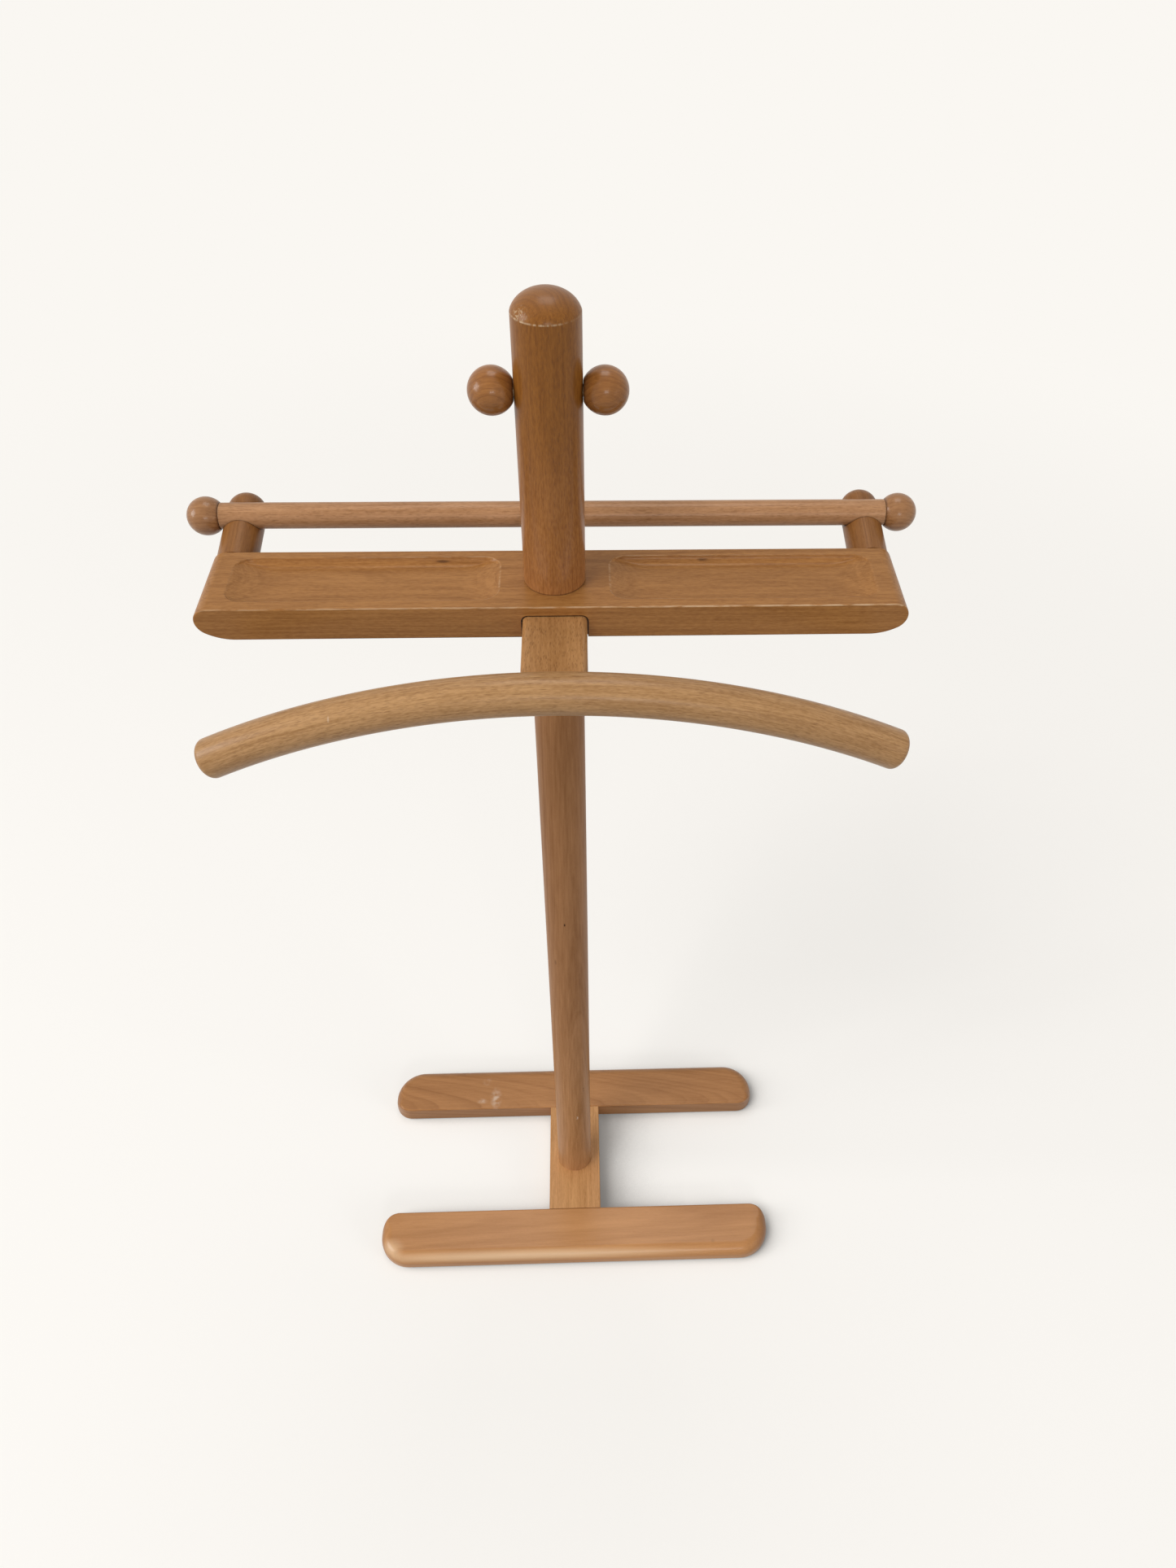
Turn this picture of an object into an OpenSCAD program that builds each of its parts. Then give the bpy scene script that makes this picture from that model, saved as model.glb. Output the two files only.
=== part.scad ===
// Valet stand in beech: an H-shaped base, a round post, a dished tray, a coat hanger
// on a bracket in front of the tray and a trouser bar on two arms behind it.
// Millimetres, +Z up, front towards -Y. The origin is on the floor under the post.

/* [Base] */
// Length of each foot bar, side to side
foot_len = 472; // [400:1:560]
// Width of each foot bar, front to back
foot_wid = 60; // [50:1:76]
// Thickness of each foot bar
foot_thick = 22; // [20:0.5:32]
// Plan radius of the foot bars' outer corners
foot_corner_r = 36; // [16:0.5:40]
// Plan radius of the foot bars' inner corners
foot_inner_r = 21; // [8:0.5:24]
// Roundover of the foot bars' outer top edges
foot_round_r = 14; // [3:0.5:15]
// Roundover of the foot bars' outer bottom edges
foot_under_r = 3; // [1:0.5:5]
// Front to back over both foot bars
base_depth = 258; // [236:1:300]
// Width of the spine that joins the foot bars
spine_wid = 63; // [54:1:80]
// Thickness of the spine
spine_thick = 21; // [19:0.5:30]
// Chamfer along the spine's long top edges
spine_chamfer = 1; // [0.5:0.25:3]
// Diameter of the felt pads under the feet
pad_d = 20; // [14:1:30]
// Thickness of the felt pads
pad_thick = 2; // [1.5:0.5:5]
// Distance of each pad's centre from the end of its foot bar
pad_inset = 34; // [30:1:90]

/* [Post] */
// Diameter of the post between base and tray
post_d = 41; // [34:0.5:46]
// Length of the post between base and tray
post_len = 865; // [600:1:1000]
// Chamfer at the foot of the post
post_chamfer = 1.5; // [0.5:0.25:3]
// Diameter of the upper post above the tray
upper_post_d = 45; // [38:0.5:52]
// Length of the upper post up to the rim of its dome
upper_post_len = 198; // [120:1:260]
// Height of the dome on the upper post
dome_rise = 13.5; // [6:0.5:20]

/* [Knobs] */
// Diameter of the knobs on the upper post
knob_d = 31.5; // [26:0.5:40]
// Height of the knobs' centres below the rim of the dome
knob_below_rim = 52; // [30:1:80]
// Depth of the flat on each knob where it sits against the upper post
knob_seat = 1.7; // [1.2:0.1:3]

/* [Tray] */
// Length of the tray, side to side
tray_len = 514; // [440:1:600]
// Depth of the tray, front to back
tray_wid = 72; // [64:1:90]
// Thickness of the tray
tray_thick = 27; // [25:0.5:34]
// Radius of the tray ends' top corners
tray_top_r = 10.5; // [6:0.5:12]
// Radius of the nose of the tray's ends, under the top corner
tray_nose_r = 12.5; // [11:0.5:13]
// How far the long curve under each end runs in along the tray
tray_under_len = 27; // [24:0.5:40]
// Distance from the post's axis to each dish
dish_from_middle = 40; // [32:0.5:60]
// Width of each dish, front to back
dish_wid = 54; // [40:1:58]
// Depth of each dish
dish_depth = 6; // [5:0.25:8]
// Radius of the cove along each dish's front and back
dish_side_r = 7; // [6:0.5:14]
// Radius of the long cove that each dish's floor rises in towards its ends
dish_end_r = 88; // [40:1:140]
// Plan radius of the dishes' corners
dish_corner_r = 14; // [14:0.5:18]
// Distance from the tray's end to its dish
dish_from_end = 20; // [16:0.5:30]
// How far the dishes lie towards the back of the tray
dish_shift = 0.75; // [0:0.25:2]

/* [Trouser bar] */
// Diameter of the trouser bar
bar_d = 20; // [16:0.5:24]
// How far the trouser bar runs past each arm, up to its end ball
bar_past_arm = 0.5; // [0.5:0.5:12]
// Diameter of the balls on the trouser bar's ends
ball_d = 29.5; // [26:0.5:36]
// Diameter of the two arms
arm_d = 30; // [26:0.5:34]
// Rise of the arms towards the back, in degrees
arm_rise = 11.5; // [4:0.5:15]
// Distance along the arm from the tray to the trouser bar
arm_to_bar = 45.5; // [38:0.5:60]
// Distance along the arm from the trouser bar to the centre of the domed end
arm_past_bar = 15; // [14:0.5:24]
// Height of the trouser bar's axis above the arm's axis
bar_above_arm = 10.5; // [9:0.1:12]

/* [Hanger] */
// Diameter of the hanger bar
hanger_d = 30; // [26:0.5:34]
// Straight distance between the ends of the hanger's arched part
hanger_span = 479; // [420:1:560]
// Height of the arch at the middle above its ends
hanger_rise = 54.5; // [40:0.5:80]
// Straight length between the arch and each rounded end
hanger_neck = 3; // [1:0.5:10]
// Edge radius of the hanger's square ends
hanger_end_r = 5; // [2:0.5:8]
// Distance from the post's axis to the hanger's centreline
hanger_reach = 111.5; // [95:0.5:125]
// Depth of the hanger's centreline below the top of the bracket
hanger_below_bracket = 7.4; // [5:0.1:9]
// Width of the hanger bracket
bracket_wid = 46.5; // [42:0.5:60]
// Thickness of the hanger bracket
bracket_thick = 19; // [16:0.5:22]
// Roundover of the bracket's long edges
bracket_round_r = 4; // [2:0.5:6]
// How far the bracket runs behind the post's axis
bracket_tail = 24; // [20:0.5:28]
// Wood left in the tray above the bracket
slot_roof = 8.5; // [8:0.25:12]

/* [Fixings] */
// Diameter of the wooden dowels in the base
base_dowel_d = 10; // [8:0.5:12]
// Length of the wooden dowels in the base
base_dowel_len = 50; // [40:1:60]
// Distance of the base dowels from the middle
base_dowel_x = 18; // [14:0.5:20]
// Diameter of the dowels that hold the knobs
knob_dowel_d = 8; // [6:0.5:10]
// How deep the knob dowels go into the upper post
knob_dowel_in_post = 16; // [12:0.5:18]
// How deep the knob dowels go into the knobs
knob_dowel_in_knob = 16; // [12:0.5:20]
// Diameter of the dowels that hold the arms
arm_dowel_d = 10; // [8:0.5:11]
// How deep the arm dowels go into the tray and the arm, each side
arm_dowel_half = 20; // [16:0.5:22]
// Diameter of the dowels that hold the balls
ball_dowel_d = 8; // [6:0.5:10]
// How deep the ball dowels go into the bar and the ball, each side
ball_dowel_half = 10; // [8:0.5:12]
// Diameter of the dowels between the hanger and its bracket
hanger_dowel_d = 8; // [6:0.5:10]
// Distance of the hanger dowels from the middle
hanger_dowel_x = 12; // [9:0.5:14]
// How deep the hanger dowels go into the bracket
hanger_dowel_in_bracket = 26; // [20:0.5:34]
// How far the hanger dowels go past the hanger's centreline
hanger_dowel_past = 3; // [0:0.5:6]
// Diameter of the base bolt and of the stud through the tray
bolt_d = 8; // [6:0.5:8]
// Length of the base bolt's shank
bolt_len = 45; // [38:1:60]
// Diameter of the base bolt's head
bolt_head_d = 13; // [11:0.5:15]
// Height of the base bolt's head
bolt_head_h = 8; // [5:0.5:8]
// Size across the flats of the base bolt's hexagon socket
bolt_socket = 6; // [4:0.5:6]
// Diameter of the base bolt's washer
washer_d = 22; // [18:0.5:24]
// Thickness of the base bolt's washer
washer_thick = 1.8; // [1:0.1:2]
// Depth of the counterbore under the spine
counterbore_depth = 11; // [10.5:0.25:13]
// Diameter of the threaded inserts
insert_d = 12; // [11:0.5:16]
// Length of the threaded inserts
insert_len = 18; // [12:0.5:22]
// How far the stud reaches into each post
stud_engage = 24; // [20:0.5:32]
// Diameter of the screws that hold the trouser bar
screw_d = 4; // [3:0.25:5]
// Length of the screws that hold the trouser bar
screw_len = 22; // [19:0.5:24]
// Diameter of the screws' countersunk heads
screw_head_d = 8; // [7:0.25:9]
// Height of the screws' countersunk heads
screw_head_h = 2.2; // [1.5:0.1:3]

/* [Clearances] */
// Radial gap around dowels and inserts in their holes
dowel_gap = 0.1; // [0.05:0.05:0.3]
// Radial gap between the metal threads and their inserts
thread_gap = 0.1; // [0.05:0.05:0.2]
// Radial gap around the bolt and the stud where they pass through wood
bolt_gap = 0.5; // [0.3:0.1:1]
// Spare depth at the bottom of each blind hole
hole_spare = 1; // [0.5:0.25:2]
// Gap between a round piece and the saddle cut for it
saddle_gap = 0.1; // [0.05:0.05:0.3]
// Gap on each side of the bracket in the tray's slot
slot_gap = 0.3; // [0.1:0.1:0.8]

/* [Hidden] */
$fn = 96;

// Colours
beech = "#b07a4b";
beech_light = "#be8a5c";
dowel_wood = "#d9b587";
zinc = "#b9bcc0";
brass = "#c2a35a";
felt = "#6b625a";

// Small overlap that keeps cuts clear of the faces they start from
cut = 1;

// Heights
base_z = pad_thick;
spine_top = base_z + spine_thick;
post_top = spine_top + post_len;
bracket_top = post_top + bracket_thick;
tray_top = bracket_top + slot_roof;
tray_bottom = tray_top - tray_thick;
rim_z = tray_top + upper_post_len;
knob_z = rim_z - knob_below_rim;
slot_depth = tray_thick - slot_roof;

// Base
foot_y = (base_depth - foot_wid) / 2;
spine_len = base_depth - 2 * foot_wid;
bolt_seat_z = base_z + counterbore_depth - washer_thick;
base_dowel_z = base_z + spine_thick / 2;

// Posts
dome_r = (pow(upper_post_d / 2, 2) + dome_rise * dome_rise) / (2 * dome_rise);
knob_flat = knob_d / 2 - knob_seat;
knob_x = upper_post_d / 2 + saddle_gap + knob_flat;

// Tray
tray_nose_z = tray_top - tray_top_r;
tray_under_h = tray_thick - tray_top_r;
tray_under_r = (pow(tray_under_len, 2) + pow(tray_under_h, 2) - 2 * tray_under_len * tray_nose_r)
  / (2 * (tray_under_h - tray_nose_r));

dish_len = tray_len / 2 - dish_from_end - dish_from_middle;
// Keeps the dishes' plan outline just outside their coves, except at the corners
dish_wall_gap = 0.1;

// Trouser bar; an arm's own frame has its y along the arm from the tray's back face
arm_x = (tray_len - arm_d) / 2;
bar_len = tray_len + 2 * bar_past_arm;
arm_z = tray_top - arm_d / 2;
arm_y = tray_wid / 2;
arm_end = arm_to_bar + arm_past_bar;
bar_y = arm_y + arm_to_bar * cos(arm_rise) - bar_above_arm * sin(arm_rise);
bar_z = arm_z + arm_to_bar * sin(arm_rise) + bar_above_arm * cos(arm_rise);
ball_flat = sqrt(pow(ball_d / 2, 2) - pow(bar_d / 2, 2));
ball_x = bar_len / 2 + ball_flat;

// Hanger
hanger_z = bracket_top - hanger_below_bracket;
hanger_r = (pow(hanger_span / 2, 2) + hanger_rise * hanger_rise) / (2 * hanger_rise);
hanger_half_angle = asin(hanger_span / 2 / hanger_r);
hanger_dowel_z = bracket_top - bracket_thick / 2;
hanger_back_y = -hanger_reach + hanger_d / 2;

module at_ends(x) {
  for (side = [-1, 1]) translate([side * x, 0, 0]) children();
}

// Straight cylinder along +Y from y0 to y1
module rod_y(d, y0, y1) {
  translate([0, y0, 0]) rotate([-90, 0, 0]) cylinder(d = d, h = y1 - y0);
}

// Straight cylinder along +X from x0 to x1
module rod_x(d, x0, x1) {
  translate([x0, 0, 0]) rotate([0, 90, 0]) cylinder(d = d, h = x1 - x0);
}

// Half of a board's section: from the middle out to half_w, with round top and bottom corners
module half_section(half_w, h, top_r, under_r) {
  difference() {
    square([half_w, h]);
    translate([half_w - top_r, h - top_r]) difference() {
      square(top_r + cut);
      circle(r = top_r);
    }
    translate([half_w - under_r, under_r]) mirror([0, 1]) difference() {
      square(under_r + cut);
      circle(r = under_r);
    }
  }
}

// Rectangle with round corners
module round_rect(len, wid, r) {
  square([len - 2 * r, wid], center = true);
  square([len, wid - 2 * r], center = true);
  for (x = [-1, 1], y = [-1, 1]) translate([x * (len / 2 - r), y * (wid / 2 - r)]) circle(r = r);
}

// Board with round corners in plan and rounded top and bottom edges all round
module soft_board(len, wid, h, corner_r, top_r, under_r) {
  for (x = [-1, 1], y = [-1, 1]) translate([x * (len / 2 - corner_r), y * (wid / 2 - corner_r), 0])
    rotate_extrude() half_section(corner_r, h, top_r, under_r);
  for (turn = [0, 180]) rotate([0, 0, turn]) {
    translate([-len / 2 + corner_r, 0, 0]) rotate([90, 0, 90])
      linear_extrude(len - 2 * corner_r) half_section(wid / 2, h, top_r, under_r);
    translate([0, wid / 2 - corner_r, 0]) rotate([90, 0, 0])
      linear_extrude(wid - 2 * corner_r) half_section(len / 2, h, top_r, under_r);
  }
}

// Blind hole for a dowel along +Y between two depths
module dowel_hole_y(d, y0, y1) {
  rod_y(d + 2 * dowel_gap, y0, y1);
}

// Foot bar with its inner edge, towards +Y, left square where the spine meets it
module foot_bar() {
  difference() {
    translate([0, 0, base_z]) intersection() {
      translate([0, foot_wid / 2, 0])
        soft_board(foot_len, 2 * foot_wid, foot_thick, foot_corner_r, foot_round_r, foot_under_r);
      linear_extrude(foot_thick) round_rect(foot_len, foot_wid, foot_inner_r);
    }
    translate([0, foot_wid / 2, base_dowel_z]) at_ends(base_dowel_x)
      dowel_hole_y(base_dowel_d, -base_dowel_len / 2 - hole_spare, cut);
  }
}

module front_foot_bar() {
  color(beech_light) translate([0, -foot_y, 0]) foot_bar();
}

module rear_foot_bar() {
  color(beech_light) translate([0, foot_y, 0]) rotate([0, 0, 180]) foot_bar();
}

module base_spine() {
  c = spine_chamfer;
  w = spine_wid / 2;
  color(beech) difference() {
    translate([0, spine_len / 2, base_z]) rotate([90, 0, 0]) linear_extrude(spine_len)
      polygon([[-w, 0], [w, 0], [w, spine_thick - c], [w - c, spine_thick],
               [c - w, spine_thick], [-w, spine_thick - c]]);
    cylinder(d = bolt_d + 2 * bolt_gap, h = spine_top + cut);
    cylinder(d = washer_d + 2 * bolt_gap, h = base_z + counterbore_depth);
    for (turn = [0, 180]) rotate([0, 0, turn])
      translate([0, -spine_len / 2, base_dowel_z]) at_ends(base_dowel_x)
        dowel_hole_y(base_dowel_d, -cut, base_dowel_len / 2 + hole_spare);
  }
}

module base_dowels() {
  color(dowel_wood) for (y = [-1, 1]) translate([0, y * spine_len / 2, base_dowel_z])
    at_ends(base_dowel_x) rod_y(base_dowel_d, -base_dowel_len / 2, base_dowel_len / 2);
}

module floor_pads() {
  color(felt) for (y = [-1, 1]) translate([0, y * foot_y, 0])
    at_ends(foot_len / 2 - pad_inset) cylinder(d = pad_d, h = pad_thick);
}

module base_bolt() {
  color(zinc) translate([0, 0, bolt_seat_z]) difference() {
    union() {
      cylinder(d = bolt_d, h = bolt_len);
      translate([0, 0, -bolt_head_h]) cylinder(d = bolt_head_d, h = bolt_head_h);
    }
    translate([0, 0, -bolt_head_h - cut])
      cylinder(d = bolt_socket / cos(30), h = bolt_head_h / 2 + cut, $fn = 6);
  }
}

module base_washer() {
  color(zinc) translate([0, 0, bolt_seat_z]) difference() {
    cylinder(d = washer_d, h = washer_thick);
    translate([0, 0, -cut]) cylinder(d = bolt_d + bolt_gap, h = washer_thick + 2 * cut);
  }
}

// Threaded insert standing on z = 0
module insert() {
  color(brass) difference() {
    cylinder(d = insert_d, h = insert_len);
    translate([0, 0, -cut]) cylinder(d = bolt_d + 2 * thread_gap, h = insert_len + 2 * cut);
  }
}

// Hole for an insert and for the thread behind it, going up from z = 0
module insert_hole(thread_reach) {
  translate([0, 0, -cut]) cylinder(d = insert_d + 2 * dowel_gap, h = insert_len + cut);
  cylinder(d = bolt_d + 2 * bolt_gap, h = thread_reach + hole_spare);
}

module post_foot_insert() {
  translate([0, 0, spine_top]) insert();
}

module post_top_insert() {
  translate([0, 0, post_top - insert_len]) insert();
}

module upper_post_insert() {
  translate([0, 0, tray_top]) insert();
}

module lower_post() {
  color(beech) difference() {
    union() {
      translate([0, 0, spine_top])
        cylinder(d1 = post_d - 2 * post_chamfer, d2 = post_d, h = post_chamfer);
      translate([0, 0, spine_top + post_chamfer]) cylinder(d = post_d, h = post_len - post_chamfer);
    }
    translate([0, 0, spine_top]) insert_hole(bolt_seat_z + bolt_len - spine_top);
    translate([0, 0, post_top]) mirror([0, 0, 1]) insert_hole(stud_engage);
  }
}

module joining_stud() {
  color(zinc) translate([0, 0, post_top - stud_engage])
    cylinder(d = bolt_d, h = tray_top - post_top + 2 * stud_engage);
}

// Piece to take off a tray end: x runs outwards from where the long curve starts
module tray_end_waste() {
  nose_x = tray_under_len - tray_nose_r;
  far = tray_under_len + cut;
  translate([tray_under_len - tray_top_r, tray_thick - tray_top_r]) difference() {
    square(tray_top_r + cut);
    circle(r = tray_top_r);
  }
  difference() {
    translate([0, -cut]) square([far, tray_under_h + cut]);
    intersection() {
      translate([0, tray_under_r]) circle(r = tray_under_r, $fn = 240);
      polygon([[-cut, -cut], [0, -cut], [0, tray_under_r],
               [nose_x, tray_under_h], [nose_x, tray_under_h + cut], [-cut, tray_under_h + cut]]);
    }
    intersection() {
      translate([0, tray_under_r]) circle(r = tray_under_r, $fn = 240);
      polygon([[0, tray_under_r], [0, -cut], [far, -cut], [nose_x, tray_under_h]]);
    }
    translate([nose_x, tray_under_h]) circle(r = tray_nose_r);
  }
}

// Section of the bracket, with its middle at the origin; bottom corners square if asked
module bracket_section(gap, square_bottom) {
  w = bracket_wid + 2 * gap;
  r = bracket_round_r + gap;
  round_rect(w, bracket_thick, r);
  if (square_bottom) translate([-w / 2, -bracket_thick / 2 - cut]) square([w, bracket_thick / 2 + cut]);
}

// Section of a dish, span wide at the tray's top, whose flat floor rises in a cove at both sides
module dish_section(span, r) {
  run = sqrt(dish_depth * (2 * r - dish_depth));
  intersection() {
    translate([-span, -dish_depth]) square([2 * span, dish_depth + cut]);
    translate([0, 2 * r - dish_depth]) round_rect(span + 2 * (r - run), 4 * r, r);
  }
}

// Cutter for the right dish: its long section, its cross section and its plan in one
module dish() {
  translate([dish_from_middle + dish_len / 2, dish_shift, tray_top]) intersection() {
    translate([0, dish_wid, 0]) rotate([90, 0, 0]) linear_extrude(2 * dish_wid)
      dish_section(dish_len, dish_end_r);
    translate([-dish_len, 0, 0]) rotate([90, 0, 90]) linear_extrude(2 * dish_len)
      dish_section(dish_wid, dish_side_r);
    translate([0, 0, -dish_depth - cut]) linear_extrude(dish_depth + 3 * cut)
      round_rect(dish_len + 2 * dish_wall_gap, dish_wid + 2 * dish_wall_gap, dish_corner_r);
  }
}

module tray() {
  color(beech) difference() {
    translate([0, tray_wid / 2, tray_bottom]) rotate([90, 0, 0]) linear_extrude(tray_wid) difference() {
      translate([-tray_len / 2, 0]) square([tray_len, tray_thick]);
      for (side = [0, 1]) mirror([side, 0]) translate([tray_len / 2 - tray_under_len, 0]) tray_end_waste();
    }
    for (side = [0, 1]) mirror([side, 0, 0]) dish();
    translate([0, bracket_tail + slot_gap, bracket_top - bracket_thick / 2]) rotate([90, 0, 0])
      linear_extrude(bracket_tail + tray_wid) bracket_section(slot_gap, true);
    translate([0, 0, tray_bottom]) cylinder(d = bolt_d + 2 * bolt_gap, h = tray_thick + cut);
    at_ends(arm_x) arm_frame() dowel_hole_y(arm_dowel_d, -arm_dowel_half - hole_spare, arm_dowel_d / 2);
  }
}

// Arched centreline swept by a disc, plus a margin all round
module hanger_arc(margin) {
  translate([0, -hanger_reach, hanger_z - hanger_r]) rotate([90, 0, 0])
    rotate([0, 0, 90 - hanger_half_angle]) rotate_extrude(angle = 2 * hanger_half_angle, $fn = 360)
      translate([hanger_r, 0]) circle(d = hanger_d + 2 * margin, $fn = 64);
}

// Neck and rounded cap that finish the hanger's end, from z = 0 up
module hanger_end() {
  w = hanger_d / 2;
  rotate_extrude() union() {
    square([w, hanger_neck]);
    square([w - hanger_end_r, hanger_neck + hanger_end_r]);
    translate([w - hanger_end_r, hanger_neck]) intersection() {
      circle(r = hanger_end_r);
      square(hanger_end_r);
    }
  }
}

module hanger_bar() {
  color(beech_light) difference() {
    union() {
      hanger_arc(0);
      for (side = [-1, 1]) translate([0, -hanger_reach, hanger_z - hanger_r])
        rotate([0, side * hanger_half_angle, 0]) translate([0, 0, hanger_r])
          rotate([0, side * 90, 0]) hanger_end();
    }
    translate([0, -hanger_reach, hanger_dowel_z]) at_ends(hanger_dowel_x)
      dowel_hole_y(hanger_dowel_d, -hanger_dowel_past - hole_spare, hanger_d);
  }
}

module hanger_bracket() {
  color(beech) difference() {
    translate([0, bracket_tail, bracket_top - bracket_thick / 2]) rotate([90, 0, 0])
      linear_extrude(bracket_tail + hanger_reach) bracket_section(0, false);
    hanger_arc(saddle_gap);
    cylinder(d = bolt_d + 2 * bolt_gap, h = tray_top);
    translate([0, 0, hanger_dowel_z]) at_ends(hanger_dowel_x)
      dowel_hole_y(hanger_dowel_d, -hanger_reach, hanger_back_y + hanger_dowel_in_bracket + hole_spare);
  }
}

module hanger_dowels() {
  color(dowel_wood) translate([0, 0, hanger_dowel_z]) at_ends(hanger_dowel_x)
    rod_y(hanger_dowel_d, -hanger_reach - hanger_dowel_past, hanger_back_y + hanger_dowel_in_bracket);
}

module upper_post() {
  color(beech) difference() {
    translate([0, 0, tray_top]) rotate_extrude() {
      square([upper_post_d / 2, upper_post_len]);
      translate([0, upper_post_len]) intersection() {
        translate([0, dome_rise - dome_r]) circle(r = dome_r);
        square([upper_post_d / 2, dome_rise]);
      }
    }
    translate([0, 0, tray_top]) insert_hole(stud_engage);
    translate([0, 0, knob_z]) for (side = [0, 180]) rotate([0, 0, side])
      rod_x(knob_dowel_d + 2 * dowel_gap, upper_post_d / 2 - knob_dowel_in_post - hole_spare, upper_post_d);
  }
}

// Ball turned about the X axis, with a flat facing -X and a blind hole in the flat
module turned_ball(d, flat, hole_d, hole_depth) {
  rotate([0, 90, 0]) rotate_extrude() difference() {
    intersection() {
      circle(d = d);
      translate([0, -flat]) square([d, flat + d]);
    }
    translate([0, -flat - cut]) square([hole_d / 2 + dowel_gap, hole_depth + hole_spare + cut]);
  }
}

// Knob to the right of the upper post
module knob() {
  color(beech_light) translate([knob_x, 0, knob_z])
    turned_ball(knob_d, knob_flat, knob_dowel_d, knob_dowel_in_knob);
}

module left_knob() {
  mirror([1, 0, 0]) knob();
}

module right_knob() {
  knob();
}

module knob_dowels() {
  color(dowel_wood) translate([0, 0, knob_z]) for (side = [0, 180]) rotate([0, 0, side])
    rod_x(knob_dowel_d, upper_post_d / 2 - knob_dowel_in_post, upper_post_d / 2 + knob_dowel_in_knob);
}

// Places its children on the tray's back face with +Y along an arm's axis
module arm_frame() {
  translate([0, arm_y, arm_z]) rotate([arm_rise, 0, 0]) children();
}

// Right arm: a rod with a domed end, cut square to the tray and saddled for the bar
module arm() {
  color(beech) difference() {
    translate([arm_x, 0, 0]) arm_frame() translate([0, -arm_d, 0]) rotate([-90, 0, 0]) rotate_extrude() {
      square([arm_d / 2, arm_d + arm_end]);
      translate([0, arm_d + arm_end]) intersection() {
        circle(d = arm_d);
        square(arm_d / 2);
      }
    }
    translate([arm_x - arm_d, arm_y - 2 * arm_d, arm_z - arm_d]) cube([2 * arm_d, 2 * arm_d, 2 * arm_d]);
    translate([0, bar_y, bar_z]) rod_x(bar_d + 2 * saddle_gap, 0, bar_len);
    translate([arm_x, 0, 0]) arm_frame() dowel_hole_y(arm_dowel_d, -arm_d, arm_dowel_half + hole_spare);
    translate([arm_x, 0, 0]) screw_place() screw_shape(dowel_gap);
  }
}

module left_arm() {
  mirror([1, 0, 0]) arm();
}

module right_arm() {
  arm();
}

module arm_dowels() {
  color(dowel_wood) at_ends(arm_x) arm_frame() rod_y(arm_dowel_d, -arm_dowel_half, arm_dowel_half);
}

// Places its children under the arm, pointing up through it at the bar
module screw_place() {
  arm_frame() translate([0, arm_to_bar, -arm_d / 2 + screw_head_h / 2]) children();
}

// Countersunk screw pointing up from its flat head
module screw_shape(gap) {
  cylinder(d1 = screw_head_d + 2 * gap, d2 = screw_d + 2 * gap, h = screw_head_h);
  cylinder(d = screw_d + 2 * gap, h = screw_len + gap);
  if (gap > 0) translate([0, 0, -screw_head_h]) cylinder(d = screw_head_d + 2 * gap, h = screw_head_h);
}

module bar_screws() {
  color(zinc) at_ends(arm_x) screw_place() screw_shape(0);
}

module trouser_bar() {
  color(beech) difference() {
    translate([0, bar_y, bar_z]) rod_x(bar_d, -bar_len / 2, bar_len / 2);
    translate([0, bar_y, bar_z]) for (side = [0, 1]) mirror([side, 0, 0])
      rod_x(ball_dowel_d + 2 * dowel_gap, bar_len / 2 - ball_dowel_half - hole_spare, bar_len);
    at_ends(arm_x) screw_place() screw_shape(dowel_gap);
  }
}

// Ball at the right end of the trouser bar, with a flat the size of the bar's end
module bar_ball() {
  color(beech_light) translate([ball_x, bar_y, bar_z])
    turned_ball(ball_d, ball_flat, ball_dowel_d, ball_dowel_half);
}

module left_bar_ball() {
  mirror([1, 0, 0]) bar_ball();
}

module right_bar_ball() {
  bar_ball();
}

module ball_dowels() {
  color(dowel_wood) translate([0, bar_y, bar_z]) at_ends(bar_len / 2)
    rod_x(ball_dowel_d, -ball_dowel_half, ball_dowel_half);
}

front_foot_bar();
rear_foot_bar();
base_spine();
base_dowels();
floor_pads();
base_bolt();
base_washer();
post_foot_insert();
lower_post();
post_top_insert();
joining_stud();
tray();
hanger_bracket();
hanger_bar();
hanger_dowels();
upper_post();
upper_post_insert();
left_knob();
right_knob();
knob_dowels();
left_arm();
right_arm();
arm_dowels();
trouser_bar();
left_bar_ball();
right_bar_ball();
ball_dowels();
bar_screws();
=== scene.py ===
import math

import bmesh
import bpy
from bmesh.types import BMEdge, BMFace, BMVert
from mathutils import Matrix, Vector


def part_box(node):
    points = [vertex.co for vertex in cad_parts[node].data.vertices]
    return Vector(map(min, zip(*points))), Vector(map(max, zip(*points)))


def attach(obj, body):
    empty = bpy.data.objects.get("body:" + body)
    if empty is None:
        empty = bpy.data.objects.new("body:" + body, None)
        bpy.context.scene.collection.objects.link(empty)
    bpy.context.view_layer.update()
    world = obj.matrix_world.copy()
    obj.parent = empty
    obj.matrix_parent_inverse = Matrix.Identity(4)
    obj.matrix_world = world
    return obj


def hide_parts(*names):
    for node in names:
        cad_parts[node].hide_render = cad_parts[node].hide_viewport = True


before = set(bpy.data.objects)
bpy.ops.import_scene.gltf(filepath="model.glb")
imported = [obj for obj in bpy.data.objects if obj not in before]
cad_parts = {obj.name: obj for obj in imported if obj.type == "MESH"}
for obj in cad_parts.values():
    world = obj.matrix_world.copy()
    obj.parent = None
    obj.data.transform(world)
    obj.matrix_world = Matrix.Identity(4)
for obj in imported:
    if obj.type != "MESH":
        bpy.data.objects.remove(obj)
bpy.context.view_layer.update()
print("frame loaded with", len(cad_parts), "nodes")

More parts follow.
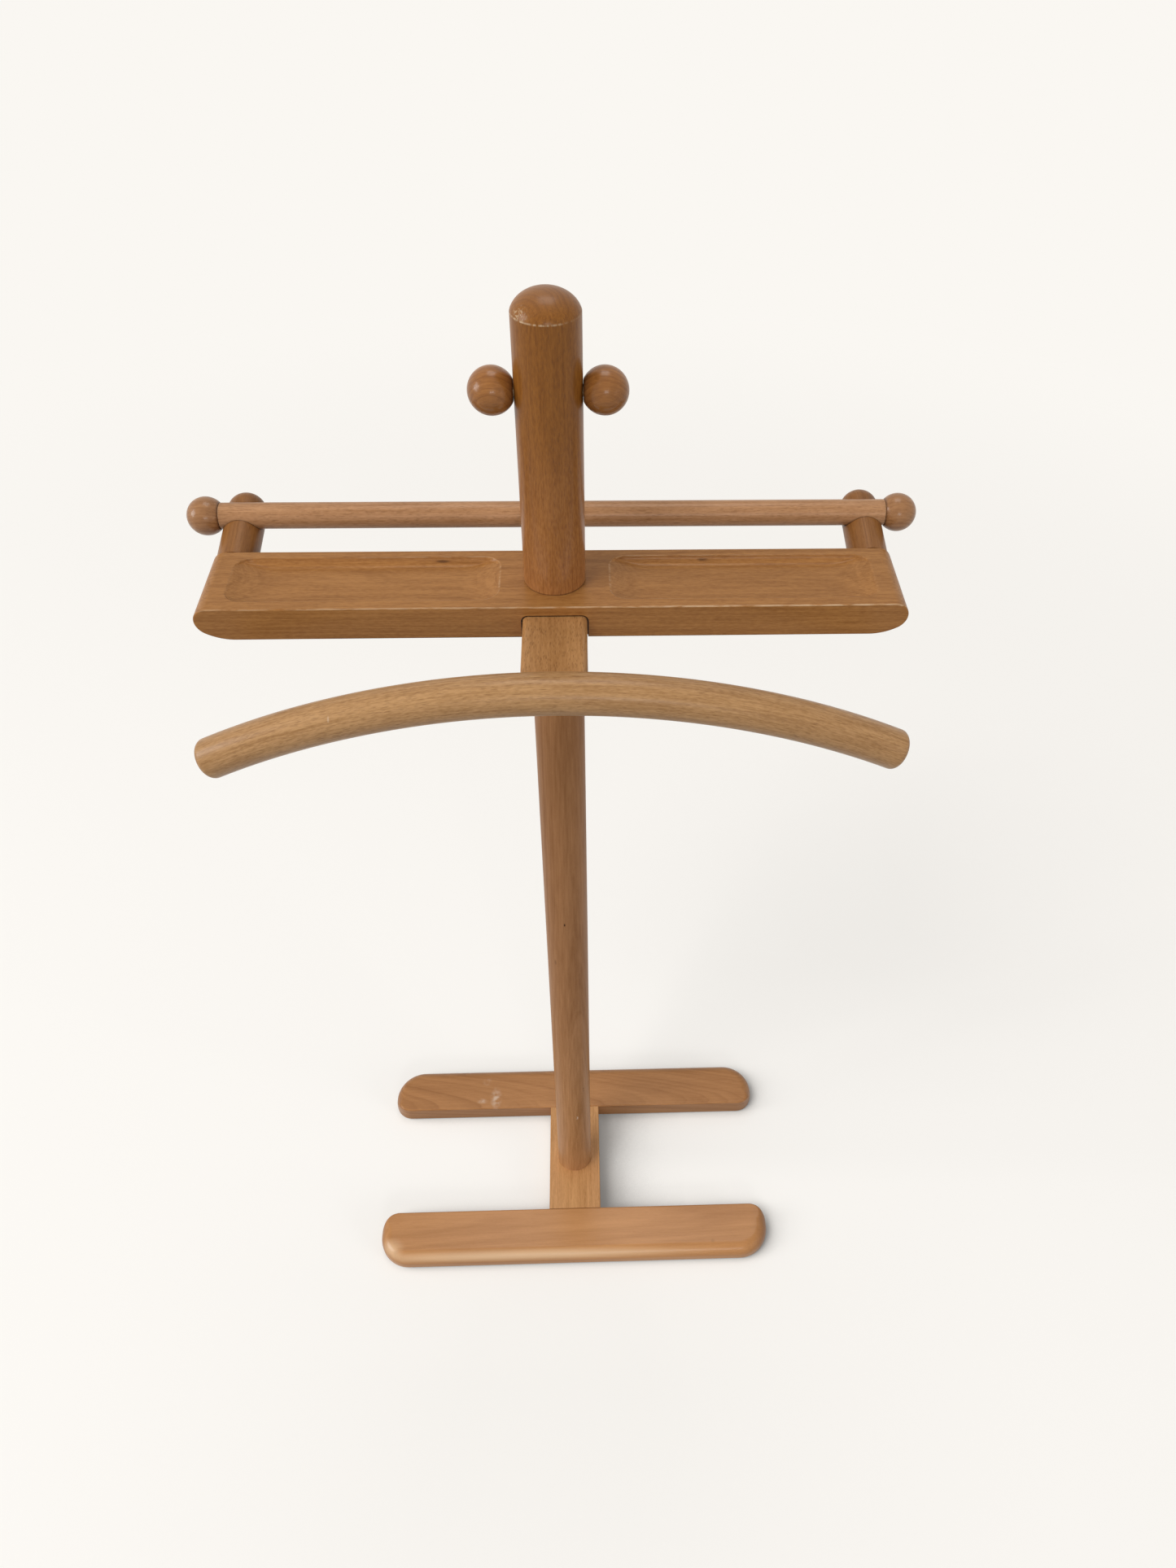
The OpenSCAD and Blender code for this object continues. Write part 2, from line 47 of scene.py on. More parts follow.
mm = 0.001
tiny = 1e-6  # in metres: places that are closer than this are the same
scene = bpy.context.scene
origin = Vector((0, 0, 0))
xAxis, yAxis, zAxis = Vector((1, 0, 0)), Vector((0, 1, 0)), Vector((0, 0, 1))


def inMm(*sizes):
    return [size * mm for size in sizes]


# Shader helpers

def tone(text):
    # a colour written the usual way, as the linear values that a socket takes
    parts = [int(text[i:i + 2], 16) / 255 for i in (1, 3, 5)]
    return [c / 12.92 if c <= 0.04045 else ((c + 0.055) / 1.055) ** 2.4 for c in parts] + [1]


class Wire:
    # one output socket, which can stand in a Python expression

    def __init__(self, tree, socket=None):
        self.tree, self.socket = tree, socket

    def feed(self, socket, value):
        if isinstance(value, Wire):
            self.tree.links.new(value.socket, socket)
        else:
            socket.default_value = value

    def node(self, kind, settings=None, values=None, out=0):
        made = self.tree.nodes.new("ShaderNode" + kind)
        for name, value in (settings or {}).items():
            setattr(made, name, value)
        for name, value in (values or {}).items():
            self.feed(made.inputs[name], value)
        return Wire(self.tree, made.outputs[out])

    def endIn(self, kind):
        # leads this shader to the material's or the world's output
        end = self.tree.nodes.new("ShaderNodeOutput" + kind)
        self.feed(end.inputs["Surface"], self)

    def math(self, operation, *others):
        return self.node("Math", {"operation": operation}, dict(enumerate((self, *others))))

    def __add__(self, other):
        return self.math("ADD", other)

    def __sub__(self, other):
        return self.math("SUBTRACT", other)

    def __mul__(self, other):
        return self.math("MULTIPLY", other)

    def __rsub__(self, other):
        return (self * -1) + other

    def __pow__(self, other):
        return self.math("POWER", other)

    __radd__, __rmul__ = __add__, __mul__

    def step(self, low, high):
        # 0 below low, 1 above high, and smooth between them
        return self.node("MapRange", {"interpolation_type": "SMOOTHSTEP"},
                         {"Value": self, "From Min": low, "From Max": high})

    def scaled(self, size, shift=(0, 0, 0)):
        return self.node("VectorMath", {"operation": "MULTIPLY_ADD"}, {0: self, 1: size, 2: shift})

    def length(self):
        return self.node("VectorMath", {"operation": "LENGTH"}, {0: self}, 1)

    def noise(self, size, shift=(0, 0, 0), detail=2.0):
        place = self.scaled(size, shift)
        return self.node("TexNoise", None, {"Vector": place, "Scale": 1.0, "Detail": detail})

    def waver(self, size, shift, detail=2.0):
        # noise that goes up and down about 0
        return self.noise(size, shift, detail) - 0.5

    def bump(self, strength, depth):
        return self.node("Bump", None, {"Strength": strength, "Distance": depth, "Height": self})

    def mixed(self, first, second):
        # colour first where this is 0, second where it is 1
        return self.node("Mix", {"data_type": "RGBA", "clamp_factor": True},
                         {"Factor": self, 6: first, 7: second}, 2)

    def split(self):
        return [self.node("SeparateXYZ", None, {0: self}, i) for i in range(3)]


def clearTree(owner):
    # the emptied shader of a material or a world, to build on
    owner.use_nodes = True
    owner.node_tree.nodes.clear()
    return Wire(owner.node_tree)


def newMaterial(name):
    material = bpy.data.materials.new(name)
    return material, clearTree(material)


def piecePlace(start, centre=(0, 0, 0), turn=(0, 0, 0)):
    # the place on the object, and the same place seen from a piece's middle and along its grain
    here = start.node("TexCoord", out="Object")
    return here, start.node("Mapping", {"vector_type": "TEXTURE"},
                            {"Vector": here, "Location": centre, "Rotation": turn})


# Beech: x runs along the grain, and the growth rings lie round a heart line beside the piece

beech = {
    "ringWander": 9 * mm,  # how far the heart line strays
    "ripple": 0.5 * mm,  # how uneven the rings are
    "jump": (3.1, 1.7, 2.3),  # how far one seed's pattern lies from the next
    # how fine the patterns are, per metre: along the grain and twice across it
    "driftYGrain": (1.7, 7, 7),
    "driftZGrain": (2.1, 6, 6),
    "rippleGrain": (70, 130, 130),
    "phaseGrain": (6, 60, 60),
    "dashGrain": (200, 1000, 1000),
    "fibreGrain": (26, 480, 480),
    "cloudGrain": (5, 20, 20),
    "patchGrain": (16, 70, 70),
    "rubAndHighlightGrain": (70, 420, 420),
    # the same, or one cell's size: along the grain, round the rings, towards the heart
    "lineGrain": (11, 70, 1500),
    "bandGrain": (4, 24, 300),
    "fleckCell": inMm(12, 1.8, 2.4),
    "speckCell": inMm(5.5, 0.95, 1.4),
    "fleckSize": (0.16, 0.32),  # where a spindle fades out, as a share of its cell
    "speckSize": (0.16, 0.38),
    "patchStep": (0.34, 0.56),  # flecks come in patches
    "phaseWander": 1.6,  # in rings
    "ringFade": 2.5,  # a ring darkens by this power
    "ringEnd": (0.9, 1.0),  # and then stops short
    "endStep": (0.5, 1.0),  # where the grain meets the surface head on
    "endRing": 1.6,  # the rings are darker there
    "endPlain": 0.6,  # and the fine grain is fainter
    "endShare": 0.3,
    "middle": 0.42,  # the shade of plain wood, from palest to darkest
    "speckShare": 0.3,
    "rubAndHighlightStep": (0.34, 0.62),
    "rubAndHighlightShare": 0.8,
    "lightShare": (1.17, 1.20, 1.26),  # the palest and the darkest wood, against the tint
    "darkShare": (0.78, 0.72, 0.64),
    "fleckColour": "#5F3A1F",
    # pale, for rubbed places and for painted highlights on edges and rims
    "wornColour": "#DABE9B",
    "endColour": "#8A6140",
    # painted shade in joints and seams
    "jointShadeColour": "#3A2314",
    "rough": {"plain": 0.40, "band": 0.1, "line": 0.1, "fleck": 0.05, "rubAndHighlight": 0.1},
    "high": {"line": 0.5, "dash": 0.5, "fleck": 0.6, "speck": 0.3},
    "bump": 0.3,
    "bumpDepth": 0.05 * mm,
    "ior": 1.5,
}
plainLook = {
    "grain": "x", "seed": 0.0, "heart": inMm(48, -40), "ringGap": 2.6 * mm, "taper": 0.0,
    "ring": 0.22, "band": 0.75, "line": 1.19, "dash": 0.9, "fibre": 1.2, "cloud": 0.5,
    "fleck": 0.3, "speck": 0.45, "coat": 0.12, "coatRoughness": 0.18, "specular": 0.16,
}
grainTurns = {  # how the grain direction is turned, for pieces that lie along x, y or z
    "x": (0, 0, 0),
    "y": (0, 0, math.pi / 2),
    "z": (0, -math.pi / 2, 0),
}


def shaded(colour, share):
    return [c * k for c, k in zip(colour, share)] + [1]


def spindles(ringPlace, cell, small, large):
    # dark ends of the wood's rays, one in each cell
    place = ringPlace.scaled([1 / c for c in cell])
    cells = {"Vector": place, "Scale": 1.0, "Randomness": 1.0}
    near = place.node("TexVoronoi", {"feature": "F1"}, cells, "Distance")
    return 1 - near.step(small, large)


def bentPlace(place, bend):
    # grain that follows an arched piece, whose middle line has this radius
    x, y, z = place.split()
    rise = z + bend
    reach = (x * x + rise * rise).math("SQRT")
    return place.node("CombineXYZ", None, {0: x.math("ARCTAN2", rise) * bend, 1: y, 2: reach - bend})


def ringCoordinates(place, look, jump):
    # how far from the heart line, and the place as along the grain, round the rings and out from it
    heart = look["heart"]
    x, y, z = place.split()
    driftY = place.waver(beech["driftYGrain"], jump, 1.0)
    driftZ = place.waver(beech["driftZGrain"], (jump[1], jump[2], jump[0]), 1.0)
    ripple = place.waver(beech["rippleGrain"], jump)
    fromHeartY = y - heart[0] + driftY * beech["ringWander"]
    fromHeartZ = z - heart[1] + driftZ * beech["ringWander"]
    radius = (fromHeartY * fromHeartY + fromHeartZ * fromHeartZ).math("SQRT") + ripple * beech["ripple"]
    radius = radius + x * look["taper"]
    around = fromHeartZ.math("ARCTAN2", fromHeartY) * math.hypot(*heart)
    return radius, place.node("CombineXYZ", None, {0: x, 1: around, 2: radius})


def growthRings(place, radius, look, jump):
    # each ring darkens outwards and then ends, some more than others
    wander = place.noise(beech["phaseGrain"], jump, 1.0) * beech["phaseWander"]
    phase = radius * (1 / look["ringGap"]) + wander
    turn, number = phase.math("FRACT"), phase.math("FLOOR")
    share = number.node("TexWhiteNoise", {"noise_dimensions": "1D"}, {"W": number})
    return turn ** beech["ringFade"] * (1 - turn.step(*beech["ringEnd"])) * share


def endGrainOf(start, turn):
    # 1 where the surface cuts straight across the grain
    facing = start.node("NewGeometry", out="Normal")
    turns = [Matrix.Rotation(angle, 3, axis) for angle, axis in zip(turn, "XYZ")]
    along = turns[2] @ turns[1] @ turns[0] @ xAxis
    head = facing.node("VectorMath", {"operation": "DOT_PRODUCT"}, {0: facing, 1: along}, 1)
    return head.math("ABSOLUTE").step(*beech["endStep"])


def markedBy(wood, here, marks, jump):
    # scuffs, nicks and stains, and painted highlights and shade, each at its own place on the piece
    for mark in marks:
        size = mark["size"]
        near = here.scaled([1 / s for s in size], [-c / s for c, s in zip(mark["at"], size)]).length()
        cover = (1 - near.step(*mark.get("edge", (0.35, 1.0)))) * mark["amount"]
        if "grit" in mark:
            cover = cover * here.noise([mark["grit"]] * 3, jump, 3.0).step(*mark.get("broken", (0.42, 0.6)))
        if "gain" in mark:  # paler wood, with its grain
            wood = wood.scaled(cover.mixed((1, 1, 1, 1), (*mark["gain"], 1)))
        else:
            wood = cover.mixed(wood, tone(mark["colour"]))
    return wood


def beechWood(name, centre, look, bend=None, marks=()):
    look = {**plainLook, **look}
    material, start = newMaterial(name)
    turn = grainTurns.get(look["grain"], look["grain"])
    here, place = piecePlace(start, centre, turn)
    if bend:
        place = bentPlace(place, bend)
    jump = [look["seed"] * k for k in beech["jump"]]
    radius, ringPlace = ringCoordinates(place, look, jump)
    ring = growthRings(place, radius, look, jump)
    line = ringPlace.waver(beech["lineGrain"], jump)
    band = ringPlace.waver(beech["bandGrain"], jump)
    dash = place.waver(beech["dashGrain"], jump)
    fibre = place.waver(beech["fibreGrain"], (jump[1], jump[0], jump[2]))
    cloud = place.waver(beech["cloudGrain"], (jump[2], jump[0], jump[1]))
    patch = place.noise(beech["patchGrain"], jump, 1.0).step(*beech["patchStep"])
    fleck = spindles(ringPlace, beech["fleckCell"], *beech["fleckSize"]) * patch
    speck = spindles(ringPlace, beech["speckCell"], *beech["speckSize"])
    endGrain = endGrainOf(start, turn)

    fine = line * look["line"] + dash * look["dash"] + fibre * look["fibre"]
    shade = (ring * (endGrain * beech["endRing"] + look["ring"]) + fine * (1 - endGrain * beech["endPlain"])
             + band * look["band"] + cloud * look["cloud"] + beech["middle"])
    tint = tone(look["tint"])
    wood = shade.mixed(shaded(tint, beech["lightShare"]), shaded(tint, beech["darkShare"]))
    wood = (speck * (look["speck"] * beech["speckShare"])).mixed(wood, tone(beech["fleckColour"]))
    wood = (fleck * look["fleck"]).mixed(wood, tone(beech["fleckColour"]))
    wood = (endGrain * beech["endShare"]).mixed(wood, tone(beech["endColour"]))
    wood = markedBy(wood, here, marks, jump)
    worn = start.node("Attribute", {"attribute_name": "worn"}, out="Fac")  # above 0 it is wear and painted highlights, below 0 painted shade in a joint
    # rubbed places and painted highlights, pale and broken up by noise
    rubAndHighlight = worn.math("MAXIMUM", 0.0) * place.noise(beech["rubAndHighlightGrain"], jump, 3.0).step(*beech["rubAndHighlightStep"])
    wood = (rubAndHighlight * beech["rubAndHighlightShare"]).mixed(wood, tone(beech["wornColour"]))
    # painted shade in joints, where the attribute is below 0
    wood = (worn * -1).mixed(wood, tone(beech["jointShadeColour"]))

    rough, high = beech["rough"], beech["high"]
    roughness = (band * rough["band"] + line * rough["line"] + fleck * rough["fleck"] + rubAndHighlight * rough["rubAndHighlight"]
                 + rough["plain"])
    height = line * high["line"] + dash * high["dash"] - fleck * high["fleck"] - speck * high["speck"]
    start.node("BsdfPrincipled", None, {
        "Base Color": wood, "Roughness": roughness, "Normal": height.bump(beech["bump"], beech["bumpDepth"]),
        "IOR": beech["ior"], "Specular IOR Level": look["specular"],
        "Coat Weight": look["coat"], "Coat Roughness": look["coatRoughness"]}).endIn("Material")
    return material


# Mesh helpers

def addObject(name, data):
    made = bpy.data.objects.new(name, data)
    scene.collection.objects.link(made)
    return made


def addMesh(name, bm):
    mesh = bpy.data.meshes.new(name)
    bm.to_mesh(mesh)
    bm.free()
    return addObject(name, mesh)


def onlyThe(kind, geom):
    return [g for g in geom if isinstance(g, kind)]


def boxMesh(low, high):
    bm = bmesh.new()
    bmesh.ops.create_cube(bm, size=1)
    bmesh.ops.scale(bm, vec=high - low, verts=bm.verts)
    bmesh.ops.translate(bm, vec=(low + high) / 2, verts=bm.verts)
    return bm


def edgesWhere(bm, test):
    # test gets each edge's middle and direction
    found = []
    for edge in bm.edges:
        first, last = (vert.co for vert in edge.verts)
        if test((first + last) / 2, (last - first).normalized()):
            found.append(edge)
    return found


def alongY(way):
    return abs(way.y) > 0.9


def roundEdges(bm, edges, radius, steps=2):
    bmesh.ops.bevel(bm, geom=edges, offset=radius, offset_type="OFFSET", affect="EDGES", segments=steps,
                    profile=0.5, material=-1, clamp_overlap=True)


def roundCorners(bm, verts, radius, steps=2):
    bmesh.ops.bevel(bm, geom=verts, offset=radius, offset_type="OFFSET", affect="VERTICES", segments=steps,
                    profile=0.5, material=-1)


def combine(base, tool, operation="DIFFERENCE"):
    # exact boolean of two closed meshes
    parts = []
    for bm in (base, tool):
        bmesh.ops.recalc_face_normals(bm, faces=bm.faces)
        parts.append(addMesh("part", bm))
    cut = parts[0].modifiers.new("cut", "BOOLEAN")
    cut.operation, cut.object, cut.solver = operation, parts[1], "EXACT"
    bpy.context.view_layer.update()
    shown = parts[0].evaluated_get(bpy.context.evaluated_depsgraph_get())
    result = bmesh.new()
    result.from_mesh(shown.to_mesh())
    for part in parts:
        mesh = part.data
        bpy.data.objects.remove(part)
        bpy.data.meshes.remove(mesh)
    return result


def wireThrough(bm, places, verts=()):
    # joins the places with edges, going on from the last of verts
    verts = list(verts)
    for place in places:
        verts.append(bm.verts.new(place))
        if len(verts) > 1:
            bm.edges.new(verts[-2:])
    return verts


def arcOn(bm, vert, centre, axis, angle, steps):
    # carries the wire on from vert, round an arc, and gives its last vertex
    made = bmesh.ops.spin(bm, geom=[vert], cent=centre, axis=axis, dvec=(0, 0, 0), angle=angle, steps=steps)
    return onlyThe(BMVert, made["geom_last"])[0]


def latheProfile(bm, centre, axis, steps):
    bmesh.ops.spin(bm, geom=bm.verts[:] + bm.edges[:], cent=centre, axis=axis, dvec=(0, 0, 0),
                   angle=2 * math.pi, steps=steps, use_merge=True)
    bmesh.ops.remove_doubles(bm, verts=bm.verts, dist=tiny)


def wornLayerOf(bm):
    # the rubbed places and painted highlights, and the painted shade in joints, which the wood's material
    # reads
    return bm.verts.layers.float.get("worn") or bm.verts.layers.float.new("worn")


def makePiece(bm, name, standsFor, material, sharp=40, flats=True, worn=None):
    # the last argument gives each place's wear and painted light: above 0 for rubbed places and painted
    # highlights, below 0 for painted shade in joints
    bmesh.ops.remove_doubles(bm, verts=bm.verts, dist=tiny)
    bmesh.ops.recalc_face_normals(bm, faces=bm.faces)
    wornLayer = wornLayerOf(bm)
    if worn:
        for vert in bm.verts:
            vert[wornLayer] += worn(vert.co)
    for face in bm.faces:
        face.smooth = True
    piece = addMesh(name, bm)
    piece.data.set_sharp_from_angle(angle=math.radians(sharp))
    piece.data.materials.append(material)
    if flats:
        flat = piece.modifiers.new("flats", "WEIGHTED_NORMAL")
        flat.keep_sharp = True
    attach(piece, "root")
    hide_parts(*standsFor)


def middleOf(node):
    low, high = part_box(node)
    return (low + high) / 2


def beechPiece(bm, name, node, look, marks=(), centre=None, bend=None, **finish):
    # a wooden piece that stands for a node, with its own grain and marks
    material = beechWood("beech " + name, centre or middleOf(node), look, bend, marks)
    makePiece(bm, "beech_" + name.replace(" ", "_"), [node], material, **finish)


def placeOn(node, x, y, z):
    # a place in mm from the middle of a node's box
    return middleOf(node) + Vector((x, y, z)) * mm


# Camera

camera = {
    "place": inMm(20.345, -710.175, 1417.954),
    "down": 45.3238,  # degrees, as the next two
    "turn": 2.9682,
    "roll": 1.3004,
    "lens": 26.728,
    "sensor": 36,
    "shift": -0.02544,
    "clip": (0.05, 100),
}


def makeCamera():
    down, turn, roll = (math.radians(camera[k]) for k in ("down", "turn", "roll"))
    forward = Vector((math.sin(turn) * math.cos(down), math.cos(turn) * math.cos(down), -math.sin(down)))
    right = Vector((math.cos(turn), -math.sin(turn), 0))
    up = right.cross(forward)
    across = math.cos(roll) * right + math.sin(roll) * up
    upward = -math.sin(roll) * right + math.cos(roll) * up
    data = bpy.data.cameras.new("camera")
    data.sensor_fit, data.sensor_width = "AUTO", camera["sensor"]
    data.lens, data.shift_x = camera["lens"], camera["shift"]
    data.clip_start, data.clip_end = camera["clip"]
    turned = Matrix((across, upward, -forward)).transposed().to_4x4()
    scene.camera = addObject("camera", data)
    scene.camera.matrix_world = Matrix.Translation(camera["place"]) @ turned


makeCamera()
print("camera placed")


# Base: two foot bars and the spine between them

foot = {
    "outerCorner": 36 * mm,
    "innerCorner": 21 * mm,
    "topRound": 14 * mm,
    "underRound": 3 * mm,
    "innerShare": 0.16,  # how much of the rounding is left along the edge towards the spine
    "cornerSteps": 16,
    "roundSteps": 12,
}


def insetFrom(at, half, inner):
    # how far a place lies inside the bar's outline, and the way out to it
    corner = foot["innerCorner"] if at.y * inner > 0 else foot["outerCorner"]
    beyond = Vector((abs(at.x) - half.x + corner, abs(at.y) - half.y + corner))
    sides = Vector((math.copysign(1, at.x), math.copysign(1, at.y)))
    if min(beyond) > 0:
        return corner - beyond.length, Vector((beyond.x * sides.x, beyond.y * sides.y)).normalized()
    if beyond.x > beyond.y:
        return corner - beyond.x, Vector((sides.x, 0))
    return corner - beyond.y, Vector((0, sides.y))


def footBar(node, inner):
    # inner is +1 where the edge towards the spine faces +y
    low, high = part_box(node)
    half = (high - low) / 2
    bm = bmesh.new()
    bmesh.ops.create_grid(bm, x_segments=1, y_segments=1, size=1)
    bmesh.ops.scale(bm, vec=(half.x, half.y, 1), verts=bm.verts)
    for side, corner in ((inner, foot["innerCorner"]), (-inner, foot["outerCorner"])):
        roundCorners(bm, [v for v in bm.verts if v.co.y * side > half.y - tiny], corner, foot["cornerSteps"])
    under = bm.faces[:][0]
    top = onlyThe(BMFace, bmesh.ops.extrude_face_region(bm, geom=[under])["geom"])[0]
    bmesh.ops.translate(bm, vec=(0, 0, foot["underRound"] - half.z), verts=under.verts)
    bmesh.ops.translate(bm, vec=(0, 0, half.z - foot["topRound"]), verts=top.verts)
    for cap, way, radius in ((top, 1, foot["topRound"]), (under, -1, foot["underRound"])):
        inset = rise = 0.0
        for i in range(1, foot["roundSteps"] + 1):
            angle = math.pi / 2 * i / foot["roundSteps"]
            bmesh.ops.inset_region(bm, faces=[cap], use_even_offset=True, use_boundary=True,
                                   thickness=radius * (1 - math.cos(angle)) - inset, depth=0)
            bmesh.ops.translate(bm, vec=(0, 0, way * (radius * math.sin(angle) - rise)), verts=cap.verts)
            inset, rise = radius * (1 - math.cos(angle)), radius * math.sin(angle)
    for vert in bm.verts:  # the rounding narrows smoothly towards the inner edge
        inset, way = insetFrom(vert.co, half, inner)
        edge = vert.co.xy + way * inset
        along = min(1, max(0, (half.y - edge.y * inner) / foot["innerCorner"]))
        share = foot["innerShare"] + (1 - foot["innerShare"]) * along * along * (3 - 2 * along)
        vert.co.xy = edge - way * inset * share
        vert.co.z = math.copysign(half.z - (half.z - abs(vert.co.z)) * share, vert.co.z)
    bmesh.ops.translate(bm, vec=(low + high) / 2, verts=bm.verts)
    return bm


frontFootWood = {
    "tint": "#B37E4C", "seed": 1.0, "heart": inMm(22, -46), "taper": 0.02,
    "ring": 0.12, "band": 1.2, "line": 0.35, "dash": 0.3, "fibre": 0.5, "cloud": 1.0,
    "fleck": 0.0, "speck": 0.12, "coat": 0.4, "coatRoughness": 0.24,
}
rearFootWood = {
    "tint": "#A27042", "seed": 2.0, "heart": inMm(-30, -52), "taper": 0.1,
    "ring": 0.7, "band": 1.0, "line": 0.4, "dash": 0.4, "fibre": 0.7, "cloud": 0.8,
    "fleck": 0.0, "speck": 0.12, "coat": 0.3, "coatRoughness": 0.24,
}
frontLow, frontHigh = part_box("front_foot_bar")
# a pale painted highlight on the front rounding and the left corner
frontHighlight = {"colour": "#EBCDA8", "edge": (0.1, 1.0)}
frontMarks = [
    {"at": placeOn("front_foot_bar", 167, -16, 11), "size": inMm(3, 3, 3), "colour": "#8A6238",
     "amount": 0.35},
    {**frontHighlight, "at": (-70 * mm, frontLow.y + 4 * mm, frontHigh.z - 4 * mm),
     "size": inMm(290, 10, 10), "amount": 0.5},  # painted highlight along the front edge
    {**frontHighlight, "at": (frontLow.x + 13 * mm, frontLow.y + 15 * mm, frontHigh.z - 3 * mm),
     "size": inMm(22, 17, 10), "amount": 0.45},  # painted highlight on the left corner
    {"at": (frontHigh.x, frontLow.y + 28 * mm, frontHigh.z - 8 * mm), "size": inMm(24, 60, 24),
     "colour": "#7E5230", "edge": (0.1, 1.0), "amount": 0.6},  # the right end is darker: painted shade away from the light, and darker end grain
]
scuff = {"colour": "#DCC9B5", "grit": 150, "broken": (0.3, 0.7), "edge": (0.1, 1.0)}
rearScuffs = [
    {**scuff, "at": placeOn("rear_foot_bar", -122, -19, 11), "size": inMm(9, 5, 6), "amount": 0.42},
    {**scuff, "at": placeOn("rear_foot_bar", -104, -16, 11), "size": inMm(9, 20, 6), "amount": 0.55},
    {**scuff, "at": placeOn("rear_foot_bar", -116, 9, 11), "size": inMm(8, 7, 6), "amount": 0.25},
]
beechPiece(footBar("front_foot_bar", 1), "front foot", "front_foot_bar", frontFootWood, frontMarks)
beechPiece(footBar("rear_foot_bar", -1), "rear foot", "rear_foot_bar", rearFootWood, rearScuffs)

spine = {"chamfer": 1 * mm, "boreWidth": 23 * mm, "boreDepth": 11 * mm, "boreSteps": 64}
spineWood = {"tint": "#BC8A58", "grain": "y", "seed": 3.0, "heart": inMm(10, -70), "ring": 0.15,
             "fleck": 0.0, "speck": 0.22}


def spineBoard():
    low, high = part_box("base_spine")
    board = boxMesh(low, high)
    topEdges = edgesWhere(board, lambda middle, way: alongY(way) and middle.z > high.z - tiny)
    roundEdges(board, topEdges, spine["chamfer"])
    bore = bmesh.new()
    bmesh.ops.create_cone(bore, cap_ends=True, segments=spine["boreSteps"], radius1=spine["boreWidth"] / 2,
                          radius2=spine["boreWidth"] / 2, depth=2 * spine["boreDepth"])
    bmesh.ops.translate(bore, vec=(0, 0, low.z), verts=bore.verts)
    return combine(board, bore)


beechPiece(spineBoard(), "spine", "base_spine", spineWood)
print("base made")


# Posts

post = {"insertWidth": 12.2 * mm, "insertDepth": 18 * mm, "steps": 96}
lower = {"footRound": 1.5 * mm, "footSteps": 3, "footWorn": 0.8}
upper = {
    "domeRise": 13.5 * mm,
    "domeTurn": 78,
    "domeSteps": 24,
    "rimSoft": 0.7 * mm,
    "footSoft": 0.5 * mm,
    "wornWidth": 0.6 * mm,
    "wornMiddle": 0.55,  # how worn the dome's rim is in the middle, and at the least
    "wornLeast": 0.25,
    "wornSide": 0.45,  # how much more it is towards the left, and the front's share of that
    "wornFront": 0.4,
}


def insertHole(end, way):
    # half the section of the hole that goes into a post's end, from its bottom outwards
    radius, bottom = post["insertWidth"] / 2, end + way * post["insertDepth"]
    return [(0, 0, bottom), (radius, 0, bottom), (radius, 0, end)]


def lowerPost():
    low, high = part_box("lower_post")
    r = (high.x - low.x) / 2
    bm = bmesh.new()
    side = [(r, 0, low.z), (r, 0, high.z)]
    verts = wireThrough(bm, insertHole(low.z, 1) + side + insertHole(high.z, -1)[::-1])
    roundCorners(bm, [verts[3]], lower["footRound"], lower["footSteps"])
    latheProfile(bm, origin, zAxis, post["steps"])
    return bm


lowerPostWood = {
    "tint": "#9C6E47", "grain": "z", "seed": 4.0, "heart": inMm(34, 19), "taper": -0.016,
    "ring": 0.5, "line": 0.85, "dash": 0.36, "fleck": 0.0, "speck": 0.15,
    "coat": 0.03, "specular": 0.06,
}
lowerPostMarks = [
    {"at": (0, 0, 0), "size": (1, 1, 0.46), "edge": (0.05, 1.0), "gain": (1.36, 1.46, 1.55),
     "amount": 1.0},  # painted light: paler towards the floor, away from the tray's shadow
    {"at": placeOn("lower_post", -12, -16, 7.5), "size": inMm(1.5, 3, 6), "colour": "#5A3A22",
     "amount": 0.4},
    {"at": placeOn("lower_post", 5, -20, -299.5), "size": inMm(1.6, 3, 5), "colour": "#DCC9B4",
     "grit": 300, "amount": 0.8},
    {"at": placeOn("lower_post", 13, -16, -241.5), "size": inMm(1.5, 3, 5), "colour": "#4E301C",
     "grit": 300, "amount": 0.8},
    {"at": placeOn("lower_post", -1.6, -20.4, 72.5), "size": inMm(1.1, 3, 3.2), "colour": "#3C2414",
     "grit": 60, "amount": 1.0},
]


def footWear(at):
    return lower["footWorn"] if at.z < lower["footRound"] * 0.9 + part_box("lower_post")[0].z else 0.0


beechPiece(lowerPost(), "lower post", "lower_post", lowerPostWood, lowerPostMarks, worn=footWear)


def upperPost():
    low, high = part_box("upper_post")
    r = (high.x - low.x) / 2
    rise = upper["domeRise"]
    domeTurn = math.radians(upper["domeTurn"])
    domeRadius = r / math.sin(domeTurn)
    domeCentre = (0, 0, high.z - rise - domeRadius * math.cos(domeTurn))
    ballRise = domeRadius * (1 - math.cos(domeTurn))
    bm = bmesh.new()
    side = [(r, 0, low.z), (r, 0, high.z - rise - upper["rimSoft"]), (r, 0, high.z - rise)]
    verts = wireThrough(bm, insertHole(low.z, 1) + side)
    arcOn(bm, verts[-1], domeCentre, yAxis, -domeTurn, upper["domeSteps"])
    for vert in bm.verts:
        if vert.co.z > high.z - rise:  # the dome is flatter than a ball
            vert.co.z = high.z - rise + (vert.co.z - high.z + rise) * rise / ballRise
    roundCorners(bm, [verts[3]], upper["footSoft"])
    latheProfile(bm, origin, zAxis, post["steps"])
    return bm


